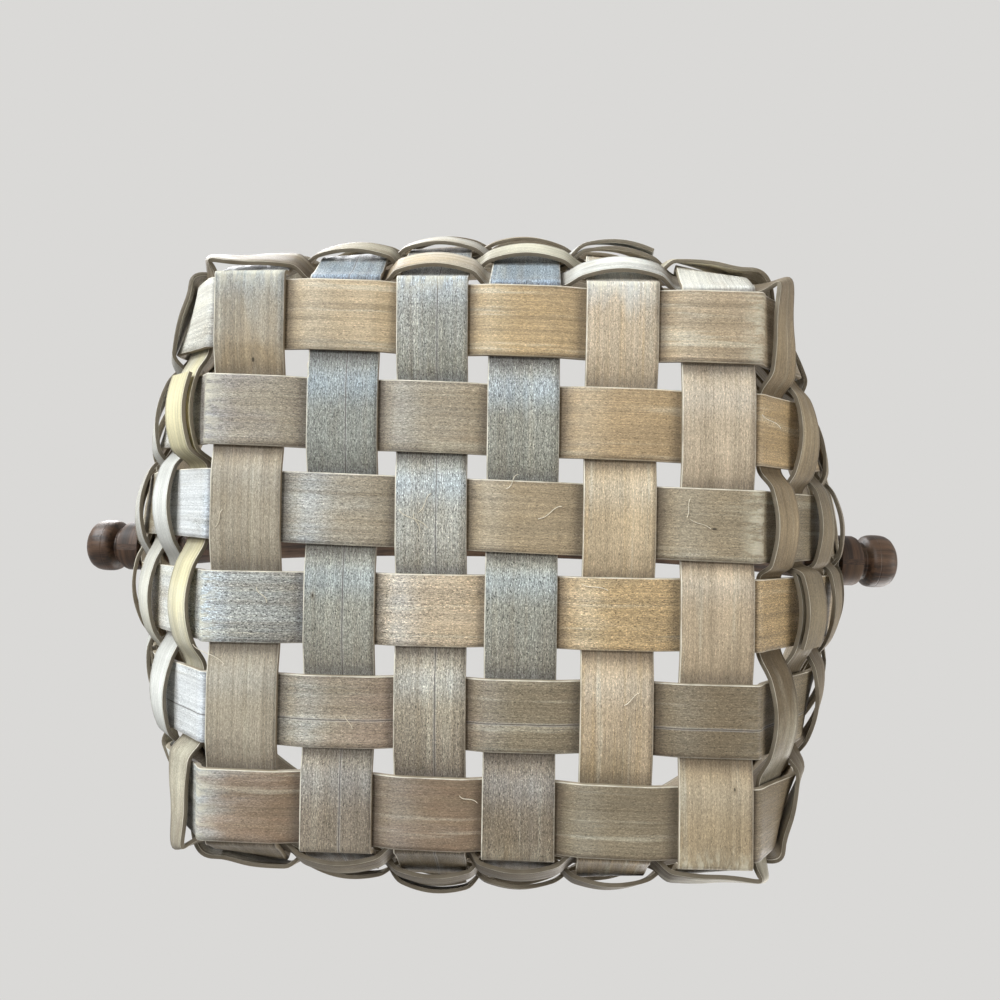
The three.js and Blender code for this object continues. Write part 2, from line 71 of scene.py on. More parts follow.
# Base splints
# Six columns and six rows of flat-cut splints cross over and under each other by turns. Past the last
# crossing each one bends up and runs on to the rim, so it is also two of the wall's uprights.
# Pairs of values go by axis: the columns are set out along X, which is axis 0, and the rows along Y.
splints_each_way = 6
splint_width = 19.1
splint_thickness = 1.3
base_pitch = (24.9, 26.1)
base_drift = ((-0.1, 0.7, 0, -0.9, -0.3, 0.4), (0.1, 0.4, -0.2, -1, 0.1, 0.2))
base_skew_deg = ((0.3, 0.4, 0.8, 0.3, 0, 0.3), (1.4, 1.4, 1.4, -0.2, -0.2, 0.5))
base_shift = (3.1, -0.9)
layer_gap = 0.34
side_gap = 0.35
rim_span = (255, 225)
rim_top = 90
hoop_height = 14
hoop_thickness = 2.6
outer_hoop_gap = 0.95
inner_hoop_gap = 0.35
foot_clearance = 1.2
foot_dip = 2.8
foot_dip_height = 2.4
bowl = (0.72, 0.85)
squareness = 30
squareness_height = 8.7
fan_power = 1.5

upright_count = 4 * splints_each_way
grid_centre = (splints_each_way - 1) / 2
hoop_bottom = rim_top - hoop_height
hoop_middle = rim_top - hoop_height / 2
lower_layer = splint_thickness / 2
upper_layer = lower_layer + splint_thickness + layer_gap
outer_hoop_radii = tuple((span - hoop_thickness) / 2 for span in rim_span)
rim_inset = (hoop_thickness + splint_thickness) / 2 + outer_hoop_gap
rim_half = tuple(radius - rim_inset for radius in outer_hoop_radii)


def lerp(low, high, t):
    return low + (high - low) * t


def smooth_step(t):
    return t * t * (3 - 2 * t)


def set_out(axis, first, second, height=0):
    """A point or a direction, from its values along the axis, along the other one and upward."""
    return np.array((second, first, height) if axis else (first, second, height))


def splint_at(axis, splint, along):
    """Where a column or row lies on its axis, at a place along its own length."""
    skew = math.tan(math.radians(base_skew_deg[axis][splint])) * (along - base_shift[1 - axis])
    return base_shift[axis] + (splint - grid_centre) * base_pitch[axis] + base_drift[axis][splint] + skew


def upright_of(index):
    """Its splint's axis and number, its sign along the side's normal, and its angle at the rim. Uprights
    count from the -Y side's first column: 0 to 5 there, 6 to 11 on +X, 12 to 17 on +Y and 18 to 23 on -X."""
    index %= upright_count
    side, along = divmod(index, splints_each_way)
    splint = along if side < 2 else splints_each_way - 1 - along
    sign = -1 if side in (0, 3) else 1
    angle = (index - grid_centre) * 2 * math.pi / upright_count - math.pi / 2
    return side % 2, splint, sign, angle


def rise_share(z):
    return min(max((z - lower_layer) / (hoop_bottom - lower_layer), 0), 1)


def half_span(foot, rim, bow, z):
    share = rise_share(z)
    dip = foot_dip * (1 - math.exp((lower_layer - z) / foot_dip_height)) * (1 - share)
    return foot + (rim - foot) * (share * (1 + bow) - bow * share * share) - dip


def ring_at(index, z):
    """The wall's half spans and centre at a height, by axis, and the power that makes it square or oval."""
    axis, splint, sign, _ = upright_of(index)
    other = 1 - axis
    outermost = 0 if sign < 0 else splints_each_way - 1
    foot = [grid_centre * pitch for pitch in base_pitch]
    crossed = splint_at(other, outermost, splint_at(axis, splint, sign * foot[other]))
    foot[other] = sign * (crossed - base_shift[other])
    spare = splint_width / 2 + side_gap + foot_clearance
    half = [half_span(foot[k] + spare, rim_half[k], bowl[k], z) for k in (0, 1)]
    centre = [shift * (1 - rise_share(z)) for shift in base_shift]
    return half, centre, 2 + squareness * math.exp((lower_layer - z) / squareness_height)


def upright_point(index, z):
    """A point on the middle of an upright, at a height on the wall."""
    axis, splint, sign, angle = upright_of(index)
    other = 1 - axis
    half, centre, power = ring_at(index, z)
    at_rim = rim_half[axis] * (math.cos(angle), math.sin(angle))[axis]
    place = lerp(splint_at(axis, splint, sign * half[other]), at_rim, rise_share(z) ** fan_power)
    reach = min(abs((place - centre[axis]) / half[axis]), 1)
    out = centre[other] + sign * half[other] * (1 - reach ** power) ** (1 / power)
    return set_out(axis, place, out, z)


def unit(vector):
    return vector / np.linalg.norm(vector)


def upright_frame(index, z):
    """The point, the level direction round the wall, the upright's own width direction, and outwards."""
    step = 0.5
    point = upright_point(index, z)
    up = unit(upright_point(index, z + step) - upright_point(index, z - step))
    half, centre, power = ring_at(index, z)
    off = [point[k] - centre[k] for k in (0, 1)]
    slope = [math.copysign(abs(off[k] / half[k]) ** (power - 1), off[k]) / half[k] for k in (0, 1)]
    level = unit(np.array((-slope[1], slope[0], 0)))
    across = unit(level - up * level.dot(up))
    return point, level, across, np.cross(across, up)


# Every splint, weaver and hoop is swept by one tree along its own path: a line of points that carry the
# width direction and the facing. The tree lays the rounded section on each point and ripples it a little.
corner_steps = 2
ripple_length = 30
sharp_angle = math.radians(32)


def section_points(width, thickness, corner, columns):
    """A rounded rectangle, as a closed loop."""
    half_w, half_t = width / 2, thickness / 2
    loop = []
    for k, (sx, sy) in enumerate(((1, 1), (-1, 1), (-1, -1), (1, -1))):
        for step in range(corner_steps + 1):
            angle = math.pi / 2 * (k + step / corner_steps)
            loop.append((sx * (half_w - corner) + corner * math.cos(angle),
                         sy * (half_t - corner) + corner * math.sin(angle)))
        if k in (0, 2):
            for column in range(1, columns):
                loop.append((lerp(sx, -sx, column / columns) * (half_w - corner), sy * half_t))
    return loop


def line_object(name, points, cyclic=False):
    mesh = bpy.data.meshes.new(name)
    count = len(points)
    edges = [(i, (i + 1) % count) for i in range(count if cyclic else count - 1)]
    mesh.from_pydata([tuple(np.array(point) * mm) for point in points], edges, [])
    return add_object(name, mesh)


def store_on_points(line, label, values):
    """Gives each point of a line a number or a direction."""
    values = np.array(values, dtype=np.float32)
    kind, field = ("FLOAT", "value") if values.ndim == 1 else ("FLOAT_VECTOR", "vector")
    line.data.attributes.new(label, kind, "POINT").data.foreach_set(field, values.ravel())


def tools_for(tree):
    """Short ways to add to a tree: any node, a sum of values, a smooth spread, a mix of colours."""
    def node(kind, settings=None, **inputs):
        """Gives the new node's outputs. Its inputs go by name, or by number as _0, and each is a value or
        another node's output to link."""
        made = tree.nodes.new(kind)
        for key, value in (settings or {}).items():
            setattr(made, key, value)
        for key, value in inputs.items():
            socket = made.inputs[int(key[1:])] if key[1:].isdigit() else made.inputs[key.replace("_", " ")]
            if isinstance(value, bpy.types.NodeSocket):
                tree.links.new(value, socket)
            else:
                socket.default_value = value
        return made.outputs

    def maths(operation, *values):
        inputs = {f"_{k}": value for k, value in enumerate(values)}
        return node("ShaderNodeMath", {"operation": operation}, **inputs)[0]

    def spread(value, low, high, to_low=0.0, to_high=1.0):
        return node("ShaderNodeMapRange", {"interpolation_type": "SMOOTHSTEP"}, Value=value, From_Min=low,
                    From_Max=high, To_Min=to_low, To_Max=to_high)[0]

    def mixed(share, first, second, blend="MIX"):
        return node("ShaderNodeMix", {"data_type": "RGBA", "blend_type": blend}, _0=share, _6=first,
                    _7=second)[2]

    return node, maths, spread, mixed


def new_tree(name, **inputs):
    """A geometry tree with the given kinds of inputs by name, its adding tools, and its inputs' sockets."""
    tree = bpy.data.node_groups.new(name, "GeometryNodeTree")
    tree.interface.new_socket("Geometry", in_out="INPUT", socket_type="NodeSocketGeometry")
    for label, kind in inputs.items():
        tree.interface.new_socket(label.replace("_", " "), in_out="INPUT", socket_type=f"NodeSocket{kind}")
    tree.interface.new_socket("Geometry", in_out="OUTPUT", socket_type="NodeSocketGeometry")
    node, maths, _, _ = tools_for(tree)
    return tree, node, maths, node("NodeGroupInput")


def close_tree(node, geometry, material):
    whole = node("GeometryNodeRealizeInstances", Geometry=geometry)[0]
    dressed = node("GeometryNodeSetMaterial", Geometry=whole, Material=material)[0]
    node("NodeGroupOutput", Geometry=dressed)


def vector(node, x=0.0, y=0.0, z=0.0):
    return node("ShaderNodeCombineXYZ", X=x, Y=y, Z=z)[0]


def stored(node, label, kind="FLOAT_VECTOR"):
    return node("GeometryNodeInputNamedAttribute", {"data_type": kind}, _0=label)["Attribute"]


def sweep_tree():
    tree, node, maths, given = new_tree("splint_sweep", Section="Object", Ripple="Float",
                                        Ripple_Length="Float", Seed="Float", Material="Material")

    def kept(geometry, label, value, domain="POINT"):
        return node("GeometryNodeStoreNamedAttribute", {"data_type": "FLOAT_VECTOR", "domain": domain},
                    Geometry=geometry, Name=label, Value=value)[0]

    def scaled(direction, size):
        return node("ShaderNodeVectorMath", {"operation": "SCALE"}, _0=direction, Scale=size)[0]

    def added(first, second):
        return node("ShaderNodeVectorMath", {"operation": "ADD"}, _0=first, _1=second)[0]

    place = node("GeometryNodeInputPosition")[0]
    section = node("GeometryNodeObjectInfo", Object=given["Section"])["Geometry"]
    section = node("GeometryNodeMeshToCurve", Mesh=kept(section, "section", place))[0]
    path = node("GeometryNodeMeshToCurve", Mesh=kept(given["Geometry"], "middle", place))[0]
    swept = node("GeometryNodeCurveToMesh", _0=path, _1=section, Fill_Caps=True)[0]
    local = node("ShaderNodeSeparateXYZ", _0=stored(node, "section"))
    sideways = maths("MULTIPLY", local[0], stored(node, "width_share", "FLOAT"))
    through = maths("MULTIPLY", local[1], stored(node, "thick_share", "FLOAT"))
    along = stored(node, "along", "FLOAT")
    wave = node("ShaderNodeTexNoise", Vector=vector(node, along, sideways, given["Seed"]),
                Scale=maths("DIVIDE", 1.0, given["Ripple Length"]), Detail=1.0)[0]
    lift = maths("ADD", through, maths("MULTIPLY", maths("SUBTRACT", wave, 0.5), given["Ripple"]))
    side = scaled(stored(node, "across"), sideways)
    face = scaled(stored(node, "facing"), lift)
    laid = added(added(stored(node, "middle"), side), face)
    swept = node("GeometryNodeSetPosition", Geometry=swept, Position=laid)[0]
    swept = kept(swept, "grain", vector(node, along, local[0], local[1]), "CORNER")
    close_tree(node, swept, given["Material"])
    return tree


sweep = sweep_tree()


def close_seams(mesh):
    """Joins points that lie together, and turns all faces outward."""
    work = bmesh.new()
    work.from_mesh(mesh)
    bmesh.ops.remove_doubles(work, verts=work.verts, dist=1e-7)
    bmesh.ops.recalc_face_normals(work, faces=work.faces)
    work.to_mesh(mesh)
    work.free()


def plain_piece(name, source, tree, values):
    """Runs a tree on an object and keeps its result as a plain mesh object of the given name."""
    modifier = source.modifiers.new("make", "NODES")
    modifier.node_group = tree
    keys = {item.name: item.identifier for item in tree.interface.items_tree if item.in_out == "INPUT"}
    for label, value in values.items():
        modifier[keys[label]] = value
    source.update_tag()
    mesh = bpy.data.meshes.new_from_object(source.evaluated_get(bpy.context.evaluated_depsgraph_get()))
    bpy.data.objects.remove(source)
    close_seams(mesh)
    mesh.name = name
    mesh.shade_smooth()
    mesh.set_sharp_from_angle(angle=sharp_angle)
    for spare in ("section", "middle", "width_share", "thick_share", "along", "across", "facing"):
        if spare in mesh.attributes:
            mesh.attributes.remove(mesh.attributes[spare])
    return add_object(name, mesh)


def path_length(stations):
    return sum(np.linalg.norm(b[0] - a[0]) for a, b in zip(stations, stations[1:]))


def swept_piece(name, stations, width, thickness, corner, material, ripple, seed, columns=8):
    """Stations are (middle, width direction, width share, thickness share, shade, climb) in millimetres. The
    shade is 1 behind another strip, for painted shade there, and below 0 where a bend is rubbed pale and
    painted with a highlight; the climb is 1 where the strip rises out from behind another, and -1 where it
    goes back, and it sets a painted sheen."""
    middles, acrosses, *shares = [np.array(values) for values in zip(*stations)]
    acrosses = acrosses / np.linalg.norm(acrosses, axis=1)[:, None]
    facings = np.cross(np.gradient(middles, axis=0), acrosses)
    facings /= np.linalg.norm(facings, axis=1)[:, None]
    lengths = np.concatenate(((0,), np.cumsum(np.linalg.norm(np.diff(middles, axis=0), axis=1))))
    guide = line_object("guide", middles)
    labels = ("across", "facing", "width_share", "thick_share", "shade", "climb", "along")
    for label, values in zip(labels, (acrosses, facings, *shares, lengths * mm)):
        store_on_points(guide, label, values)
    outline = [(x, y, 0) for x, y in section_points(width, thickness, corner, columns)]
    section = line_object("section", outline, True)
    made = plain_piece(name, guide, sweep, {
        "Section": section, "Ripple": ripple * mm, "Ripple Length": ripple_length * mm, "Seed": float(seed),
        "Material": material})
    bpy.data.objects.remove(section)
    return made


# Stains of the weathered wood, as they look in soft daylight
stains = {
    "ash": "#dad9d1", "bark": "#3c3026", "biscuit": "#b9a68b", "bone": "#d3cfc3", "butter": "#e4dab2",
    "chestnut": "#8a7560", "cream": "#dad4bd", "dove": "#b2b1a7", "driftwood": "#a59b88", "fleck": "#d3d4d2",
    "honey": "#bca279", "ivory": "#efe8d5", "khaki": "#8c806a", "lichen": "#9a998d", "mauve": "#928b84",
    "moss": "#8d8f87", "peat": "#685e4e", "pewter": "#9b9c96", "pore": "#3a332a", "rosy": "#c5b49b",
    "rust": "#9c8a78", "silver": "#aeb0ab", "slate": "#888c89", "steel": "#868f94", "straw": "#c1ad8d",
    "tan": "#a89679", "taupe": "#8d8273", "toffee": "#b29a77", "umber": "#7a6c56"}


def colour(code):
    """A colour code as the linear colour that the shaders take."""
    parts = [int(code[i:i + 2], 16) / 255 for i in (1, 3, 5)]
    return (*[c / 12.92 if c <= 0.04045 else ((c + 0.055) / 1.055) ** 2.4 for c in parts], 1)


def new_material(name):
    material = bpy.data.materials.new(name)
    material.use_nodes = True
    material.node_tree.nodes.clear()
    return material, *tools_for(material.node_tree)


def coated(node, **inputs):
    """Ends a material with its one shader."""
    shader = node("ShaderNodeBsdfPrincipled", **inputs)[0]
    node("ShaderNodeOutputMaterial", Surface=shader)


def splint_finish(name, tones, length, width, seed, grit=1.0, streaks=0.35, streak="umber", line_at=None,
                  knots=(), rub_and_highlight=1.0, edge=0.85, cut="umber", roughness=0.5, sheen=0.3):
    """Split wood. The tones are stains at distances from the strip's middle. Over them come slow patches,
    long streaks, short fibres, pale flecks, dark pores and a painted cool sheen where the strip climbs, a
    little dimmer where it goes back, then a centre line, knots, painted shade where other strips cross,
    bends rubbed pale and painted with a highlight, and edges darker on their shaded side, as dirt and
    painted shade, and paler on their lit side, as wear and a painted highlight."""
    material, node, maths, spread, mixed = new_material(name)

    def noise(per_along, per_across, detail, rough=0.6):
        where = vector(node, maths("MULTIPLY", along, per_along), maths("MULTIPLY", across, per_across),
                       maths("MULTIPLY", through, per_across))
        shifted = node("ShaderNodeVectorMath", {"operation": "ADD"}, _0=where, _1=(seed * 7.3, seed, 0))[0]
        return node("ShaderNodeTexNoise", Vector=shifted, Scale=1.0, Detail=detail, Roughness=rough)[0]

    def stained(share, under, stain):
        return mixed(share, under, colour(stains[stain]))

    def toned(under, tone):
        return mixed(1.0, under, vector(node, tone, tone, tone), "MULTIPLY")

    def at_edge(start, end, share):
        return spread(side, (width / 2 - start) * mm, (width / 2 - end) * mm, 0.0, share)

    grain = node("ShaderNodeAttribute", {"attribute_name": "grain"})["Vector"]
    along, across, through = node("ShaderNodeSeparateXYZ", _0=grain)
    shade = node("ShaderNodeAttribute", {"attribute_name": "shade"})["Fac"]
    climb = node("ShaderNodeAttribute", {"attribute_name": "climb"})["Fac"]
    side = maths("ABSOLUTE", across)
    # 0 on the strip's lit side and 1 on its shaded side, for the painted shade and highlight at the edges.
    shaded_side = spread(across, -0.2 * width * mm, 0.2 * width * mm)

    drift = maths("MULTIPLY", maths("SUBTRACT", noise(45, 130, 3), 0.5), 0.12)
    ramp = node("ShaderNodeValToRGB", Fac=maths("ADD", maths("DIVIDE", along, length * mm), drift))
    stops = ramp[0].node.color_ramp.elements
    while len(stops) < len(tones):
        stops.new(0.5)
    for stop, (place, stain) in zip(stops, tones.items()):
        stop.position = 0.5 + place / length
        stop.color = colour(stains[stain])
    wood = toned(ramp[0], spread(noise(24, 75, 3), 0.3, 0.7, 0.88, 1.11))

    _, strength, brightness = node("ShaderNodeSeparateColor", {"mode": "HSV"}, Color=wood)
    weathering = spread(brightness, 0.5, 0.7, 1.0, 0.35)
    raised = maths("MULTIPLY", spread(strength, 0.1, 0.6, 1.15 * grit, 0.8 * grit), weathering)
    streaked = spread(noise(10, 420, 5), 0.48, 0.66, 0.0, maths("MULTIPLY", weathering, streaks))
    clouded = spread(noise(40, 160, 4), 0.5, 0.72, 0.0, maths("MULTIPLY", weathering, 0.25))
    bleached = spread(noise(17, 330, 4), 0.55, 0.7, 0.0, 0.8 * streaks)
    for share, stain in ((streaked, streak), (clouded, "khaki"), (bleached, "cream")):
        wood = stained(share, wood, stain)
    wood = toned(wood, spread(noise(12, 1500, 2), 0.35, 0.65, 0.88, 1.08))

    fibres = noise(620, 3000, 4, 0.7)
    flecks = noise(1900, 3300, 2, 0.7)
    pores = noise(1600, 3400, 2, 0.7)
    for specks, low, high, below, above in (
            (fibres, 0.32, 0.68, -0.3, 0.26), (flecks, 0.5, 0.68, 0, 0.62), (pores, 0.52, 0.7, 0, -0.58)):
        under, over = [maths("MULTIPLY_ADD", raised, share, 1.0) for share in (below, above)]
        wood = toned(wood, spread(specks, low, high, under, over))
    # Painted sheen: a cool, paler light where the strip climbs out from behind another, and a little dimmer
    # where it goes back.
    painted_sheen = maths("MULTIPLY", spread(climb, 0.0, 1.2), raised)
    rise = maths("MULTIPLY_ADD", climb, 0.03, 0.99)
    red, green, blue = [maths("MULTIPLY_ADD", painted_sheen, share, rise) for share in (0.12, 0.2, 0.34)]
    wood = mixed(1.0, wood, vector(node, red, green, blue), "MULTIPLY")

    if line_at is not None:
        wander = maths("MULTIPLY", maths("SUBTRACT", noise(30, 0, 2), 0.5), 0.4 * mm)
        off = maths("ABSOLUTE", maths("SUBTRACT", maths("ADD", across, wander), line_at * mm))
        wood = stained(spread(off, 0.55 * mm, 0.2 * mm, 0.0, 0.22), wood, "fleck")
        wood = stained(spread(off, 0.22 * mm, 0.05 * mm, 0.0, 0.75), wood, "bark")
    for knot_along, knot_across, knot_size in knots:
        run = maths("MULTIPLY", maths("SUBTRACT", along, (length / 2 + knot_along) * mm), 0.5)
        aside = maths("SUBTRACT", across, knot_across * mm)
        far = node("ShaderNodeVectorMath", {"operation": "LENGTH"}, _0=vector(node, run, aside))["Value"]
        for outer, inner, share, stain in ((2.4, 0.7, 0.4, "umber"), (0.8, 0.4, 0.9, "pore")):
            outer, inner = outer * knot_size * mm, inner * knot_size * mm
            wood = stained(spread(far, outer, inner, 0.0, share), wood, stain)

    # Painted shade where other strips cross. Bends and their flat ends are painted paler: rubbed wear and a
    # painted highlight. Edges are darker all round, most on the shaded side, as dirt and painted shade, and
    # paler, most on the lit side, as wear and a painted highlight.
    rubbed = spread(noise(260, 800, 4), 0.42, 0.6, 0.15, 1.0)
    rubbed_highlight = maths("MULTIPLY", spread(shade, -0.1, -0.8, 0.0, 0.6 * rub_and_highlight), rubbed)
    dirt_and_shade = maths("MULTIPLY", at_edge(1.5, 0.35, maths("MULTIPLY_ADD", shaded_side, 0.3, 0.28)),
                  spread(noise(60, 0, 4), 0.35, 0.65, 0.4, 1.0))
    wear_and_highlight = maths("MULTIPLY", at_edge(0.38, 0.24, maths("MULTIPLY_ADD", shaded_side, -0.75 * edge, edge)),
                 spread(noise(90, 0, 3), 0.35, 0.6, 0.35, 1.0))
    for share, stain in ((spread(shade, 0.0, 1.0, 0.0, 0.5), "bark"), (rubbed_highlight, "cream"), (dirt_and_shade, "bark"),
                         (wear_and_highlight, "ivory"), (at_edge(0.1, 0.02, 0.85), cut)):
        wood = stained(share, wood, stain)

    relief = maths("ADD", maths("ADD", fibres, flecks), noise(150, 700, 2))
    bump = node("ShaderNodeBump", Strength=1.0, Distance=0.05 * mm * grit, Height=relief)[0]
    coated(node, Base_Color=wood, Normal=bump, Specular_IOR_Level=sheen,
           Roughness=spread(noise(60, 500, 3), 0.3, 0.7, roughness - 0.08, roughness + 0.12))
    return material


def wooden_strip(name, stations, width, thickness, corner, ripple, seed, columns=8, **look):
    """A swept strip of split wood, with a finish of its own."""
    finish = splint_finish(f"{name}_wood", length=path_length(stations), width=width, seed=seed, **look)
    return swept_piece(f"{name}_dressed", stations, width, thickness, corner, finish, ripple, seed, columns)


visible_flat = 14.4
flat_steps = 8
gap_steps = 12
bend_steps = 8
wall_steps = 60
bend_height = 2.6
# Bends and the flat ends next to them are painted paler: rubbed wear and a painted highlight.
bend_rub_and_highlight = 0.9
flat_rub_and_highlight = 0.65
rub_and_highlight_steps = 3
# Painted shade where the strip goes behind its neighbour.
shade_from = 0.3
shade_over = 0.55
splint_top = rim_top - 1
splint_corner = 0.16


def splint_stations(axis, splint):
    """A base splint's middle line: from the rim down one wall, through the base and up the other wall."""
    middle_place = splint_at(axis, splint, base_shift[1 - axis])
    reach = splint_width / 2 + side_gap
    crossings = []
    for number in range(splints_each_way):
        place = splint_at(1 - axis, number, middle_place)
        height = upper_layer if (splint + number + axis) % 2 else lower_layer
        crossings.append((place - reach, place + reach, height))
    eased = (splint_width + 2 * side_gap - visible_flat) / 2
    flat = []
    for i, (start, end, height) in enumerate(crossings):
        start += eased if i else 0
        end -= eased if i + 1 < len(crossings) else 0
        behind = 1 if height > lower_layer else 0
        flat += [(lerp(start, end, step / flat_steps), height, behind, 1 - 2 * step / flat_steps)
                 for step in range(flat_steps + 1)]
        if i + 1 < len(crossings):
            following = crossings[i + 1]
            for step in range(1, gap_steps):
                t = step / gap_steps
                # Painted shade as the strip passes behind the next one.
                gone_behind = smooth_step(min(max((abs(behind - t) - shade_from) / shade_over, 0), 1))
                flat.append((lerp(end, following[0] + eased, t), lerp(height, following[2], smooth_step(t)),
                             gone_behind, lerp(-1, 1, smooth_step(t))))
    # Both ends of the flat part are painted paler too: rubbed wear and a painted highlight.
    for k in range(rub_and_highlight_steps):
        for end in (k, -1 - k):
            place, height, behind, climb = flat[end]
            flat[end] = (place, height, behind or -flat_rub_and_highlight * (1 - k / rub_and_highlight_steps), climb)
    skew = math.radians(base_skew_deg[axis][splint])
    across = set_out(axis, math.cos(skew), -math.sin(skew))
    middle = [(set_out(axis, splint_at(axis, splint, place), place, height), across, shade, climb)
              for place, height, shade, climb in flat]

    def wall(index, height, sign):
        made = []
        for i in range(wall_steps + 1):
            z = lerp(height + bend_height, splint_top, i / wall_steps)
            point, _, across, _ = upright_frame(index, z)
            made.append((point, across * sign, 0, 0))
        return made

    def bend(flat_end, wall_foot, index):
        corner = upright_point(index, flat_end[0][2])
        made = []
        for i in range(1, bend_steps):
            t = i / bend_steps
            point = flat_end[0] * (1 - t) ** 2 + corner * 2 * t * (1 - t) + wall_foot[0] * t * t
            # Painted shade fades out up the bend, and the bend's middle is painted paler: rubbed wear and a
            # painted highlight.
            shade = flat_end[2] * (1 - t) ** 0.5 - bend_rub_and_highlight * math.sin(math.pi * t) ** 2
            made.append((point, unit(lerp(flat_end[1], wall_foot[1], t)), shade, flat_end[3] * (1 - t)))
        return made

    if axis:
        start_index, end_index, sign = 4 * splints_each_way - 1 - splint, splints_each_way + splint, -1
    else:
        start_index, end_index, sign = splint, 3 * splints_each_way - 1 - splint, 1
    start_wall = wall(start_index, crossings[0][2], sign)
    end_wall = wall(end_index, crossings[-1][2], -sign)
    line = [*start_wall[::-1], *bend(middle[0], start_wall[0], start_index)[::-1], *middle,
            *bend(middle[-1], end_wall[0], end_index), *end_wall]
    return [(point, across, 1, 1, shade, climb) for point, across, shade, climb in line]


# Stains by millimetres from each splint's middle: the base reaches about 75 either way, then the walls rise.
# The stains also carry painted light: paler and cooler toward the -X and -Y walls, where the light falls,
# and darker toward the +Y wall, as painted shade.
column_looks = (
    dict(tones={-120: "khaki", -78: "pewter", -62: "driftwood", -50: "tan", -13: "driftwood",
                45: "driftwood", 66: "taupe", 78: "peat", 110: "umber"},
         grit=0.75, knots=((-53, 1.2, 0.55),)),
    dict(tones={-118: "khaki", -94: "steel", -80: "steel", -62: "slate", -40: "moss", 13: "lichen",
                65: "taupe", 120: "umber"},
         grit=1.25, streaks=0.15, line_at=1.0, knots=((8, -7, 0.4),), rub_and_highlight=0.1, roughness=0.44),
    dict(tones={-118: "taupe", -94: "steel", -78: "silver", -55: "lichen", -35: "moss", -13: "dove",
                35: "driftwood", 58: "taupe", 76: "peat", 110: "umber"},
         grit=1.3, line_at=1.4, roughness=0.42),
    dict(tones={-118: "driftwood", -94: "steel", -80: "steel", -58: "pewter", -39: "lichen", 13: "lichen",
                55: "taupe", 85: "umber"},
         grit=1.35, streaks=0.2, rub_and_highlight=0.3, roughness=0.44),
    dict(tones={-112: "tan", -92: "ash", -84: "ash", -66: "rosy", -13: "straw", 39: "biscuit", 56: "tan",
                76: "umber", 110: "taupe"},
         streaks=0.45, streak="honey"),
    dict(tones={-112: "driftwood", -92: "bone", -80: "bone", -50: "rosy", 13: "biscuit", 65: "tan",
                100: "umber"},
         grit=0.85, knots=((55, 4.7, 0.35),)),
)
row_looks = (
    dict(tones={-120: "taupe", -94: "bone", -76: "bone", -60: "tan", -30: "straw", 12: "honey",
                70: "biscuit", 110: "khaki"},
         grit=0.9, streaks=0.5),
    dict(tones={-120: "taupe", -96: "ash", -88: "ash", -72: "mauve", -55: "driftwood", -35: "taupe",
                -12: "driftwood", 37: "toffee", 90: "honey", 124: "tan"}),
    dict(tones={-120: "khaki", -94: "fleck", -76: "fleck", -64: "silver", -31: "driftwood", 12: "tan",
                90: "khaki"},
         knots=((63, 1, 0.5),)),
    dict(tones={-120: "tan", -96: "ash", -88: "ash", -72: "silver", -50: "pewter", -12: "rosy", 37: "honey",
                98: "honey", 126: "tan"},
         grit=1.5, roughness=0.42),
    dict(tones={-120: "khaki", -94: "fleck", -76: "fleck", -62: "dove", -44: "driftwood", -24: "rust",
                12: "khaki", 62: "umber", 110: "khaki"},
         grit=1.1, line_at=2.1, rub_and_highlight=0.2),
    dict(tones={-118: "taupe", -95: "ash", -84: "ash", -76: "silver", -62: "rust", -50: "chestnut",
                -30: "taupe", -5: "chestnut", 28: "khaki", 90: "umber"},
         grit=0.85),
)
splint_ripple = 0.22
first_seed = {"column": 1, "row": 10, "weaver": 30}

for axis, (kind, looks) in enumerate((("column", column_looks), ("row", row_looks))):
    for number, look in enumerate(looks):
        splint = wooden_strip(f"{kind}_splint_{number + 1}", splint_stations(axis, number), splint_width,
                              splint_thickness, splint_corner, splint_ripple, first_seed[kind] + number,
                              **look)
        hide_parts(f"{kind}_splint_{number + 1}")
        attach(splint, "basket")

# Wall weavers
# Six thinner splints of pale wood, each one turn round the wall, in front of one upright and behind the
# next. Each laps over its own start, and arches away from the uprights that it passes in front of.
weaver_width = 12.2
weaver_thickness = 1.1
weaver_row_gap = 1.1
first_row_height = 4.2
last_row_clearance = 2.2
weaver_gap = 0.6
weaver_arch = 1.7
inside_arch = 0.9
arch_ease = 0.9
corner_arch_share = 0.45
corner_fold = 1.5
corner_flare = 1.5
flare_slope = 0.16
lap_passes = 2
lap_gap = 0.9
lap_starts = (21, 8, 3, 15, 11, 1)
weaver_rows = 6
meridian_step = 0.5
steps_over = 6
steps_between = 8
corner_steps_between = 14
weaver_corner = 0.16

weaver_offset = (splint_thickness + weaver_thickness) / 2 + weaver_gap
lap_shift = weaver_thickness + lap_gap


def meridian_of(index):
    """Heights up an upright against the length along it."""
    top = hoop_bottom - last_row_clearance
    heights = [*np.arange(first_row_height, top, meridian_step), top]
    points = np.array([upright_point(index, z) for z in heights])
    steps = np.linalg.norm(np.diff(points, axis=0), axis=1)
    return np.concatenate(((0,), np.cumsum(steps))), np.array(heights)


meridians = [meridian_of(index) for index in range(upright_count)]


def crossing_at(index, z, place):
    point, level, across, out = upright_frame(index, z)
    reach = (splint_width / 2 + side_gap) / level.dot(across)
    return point + level * place * reach, level, out


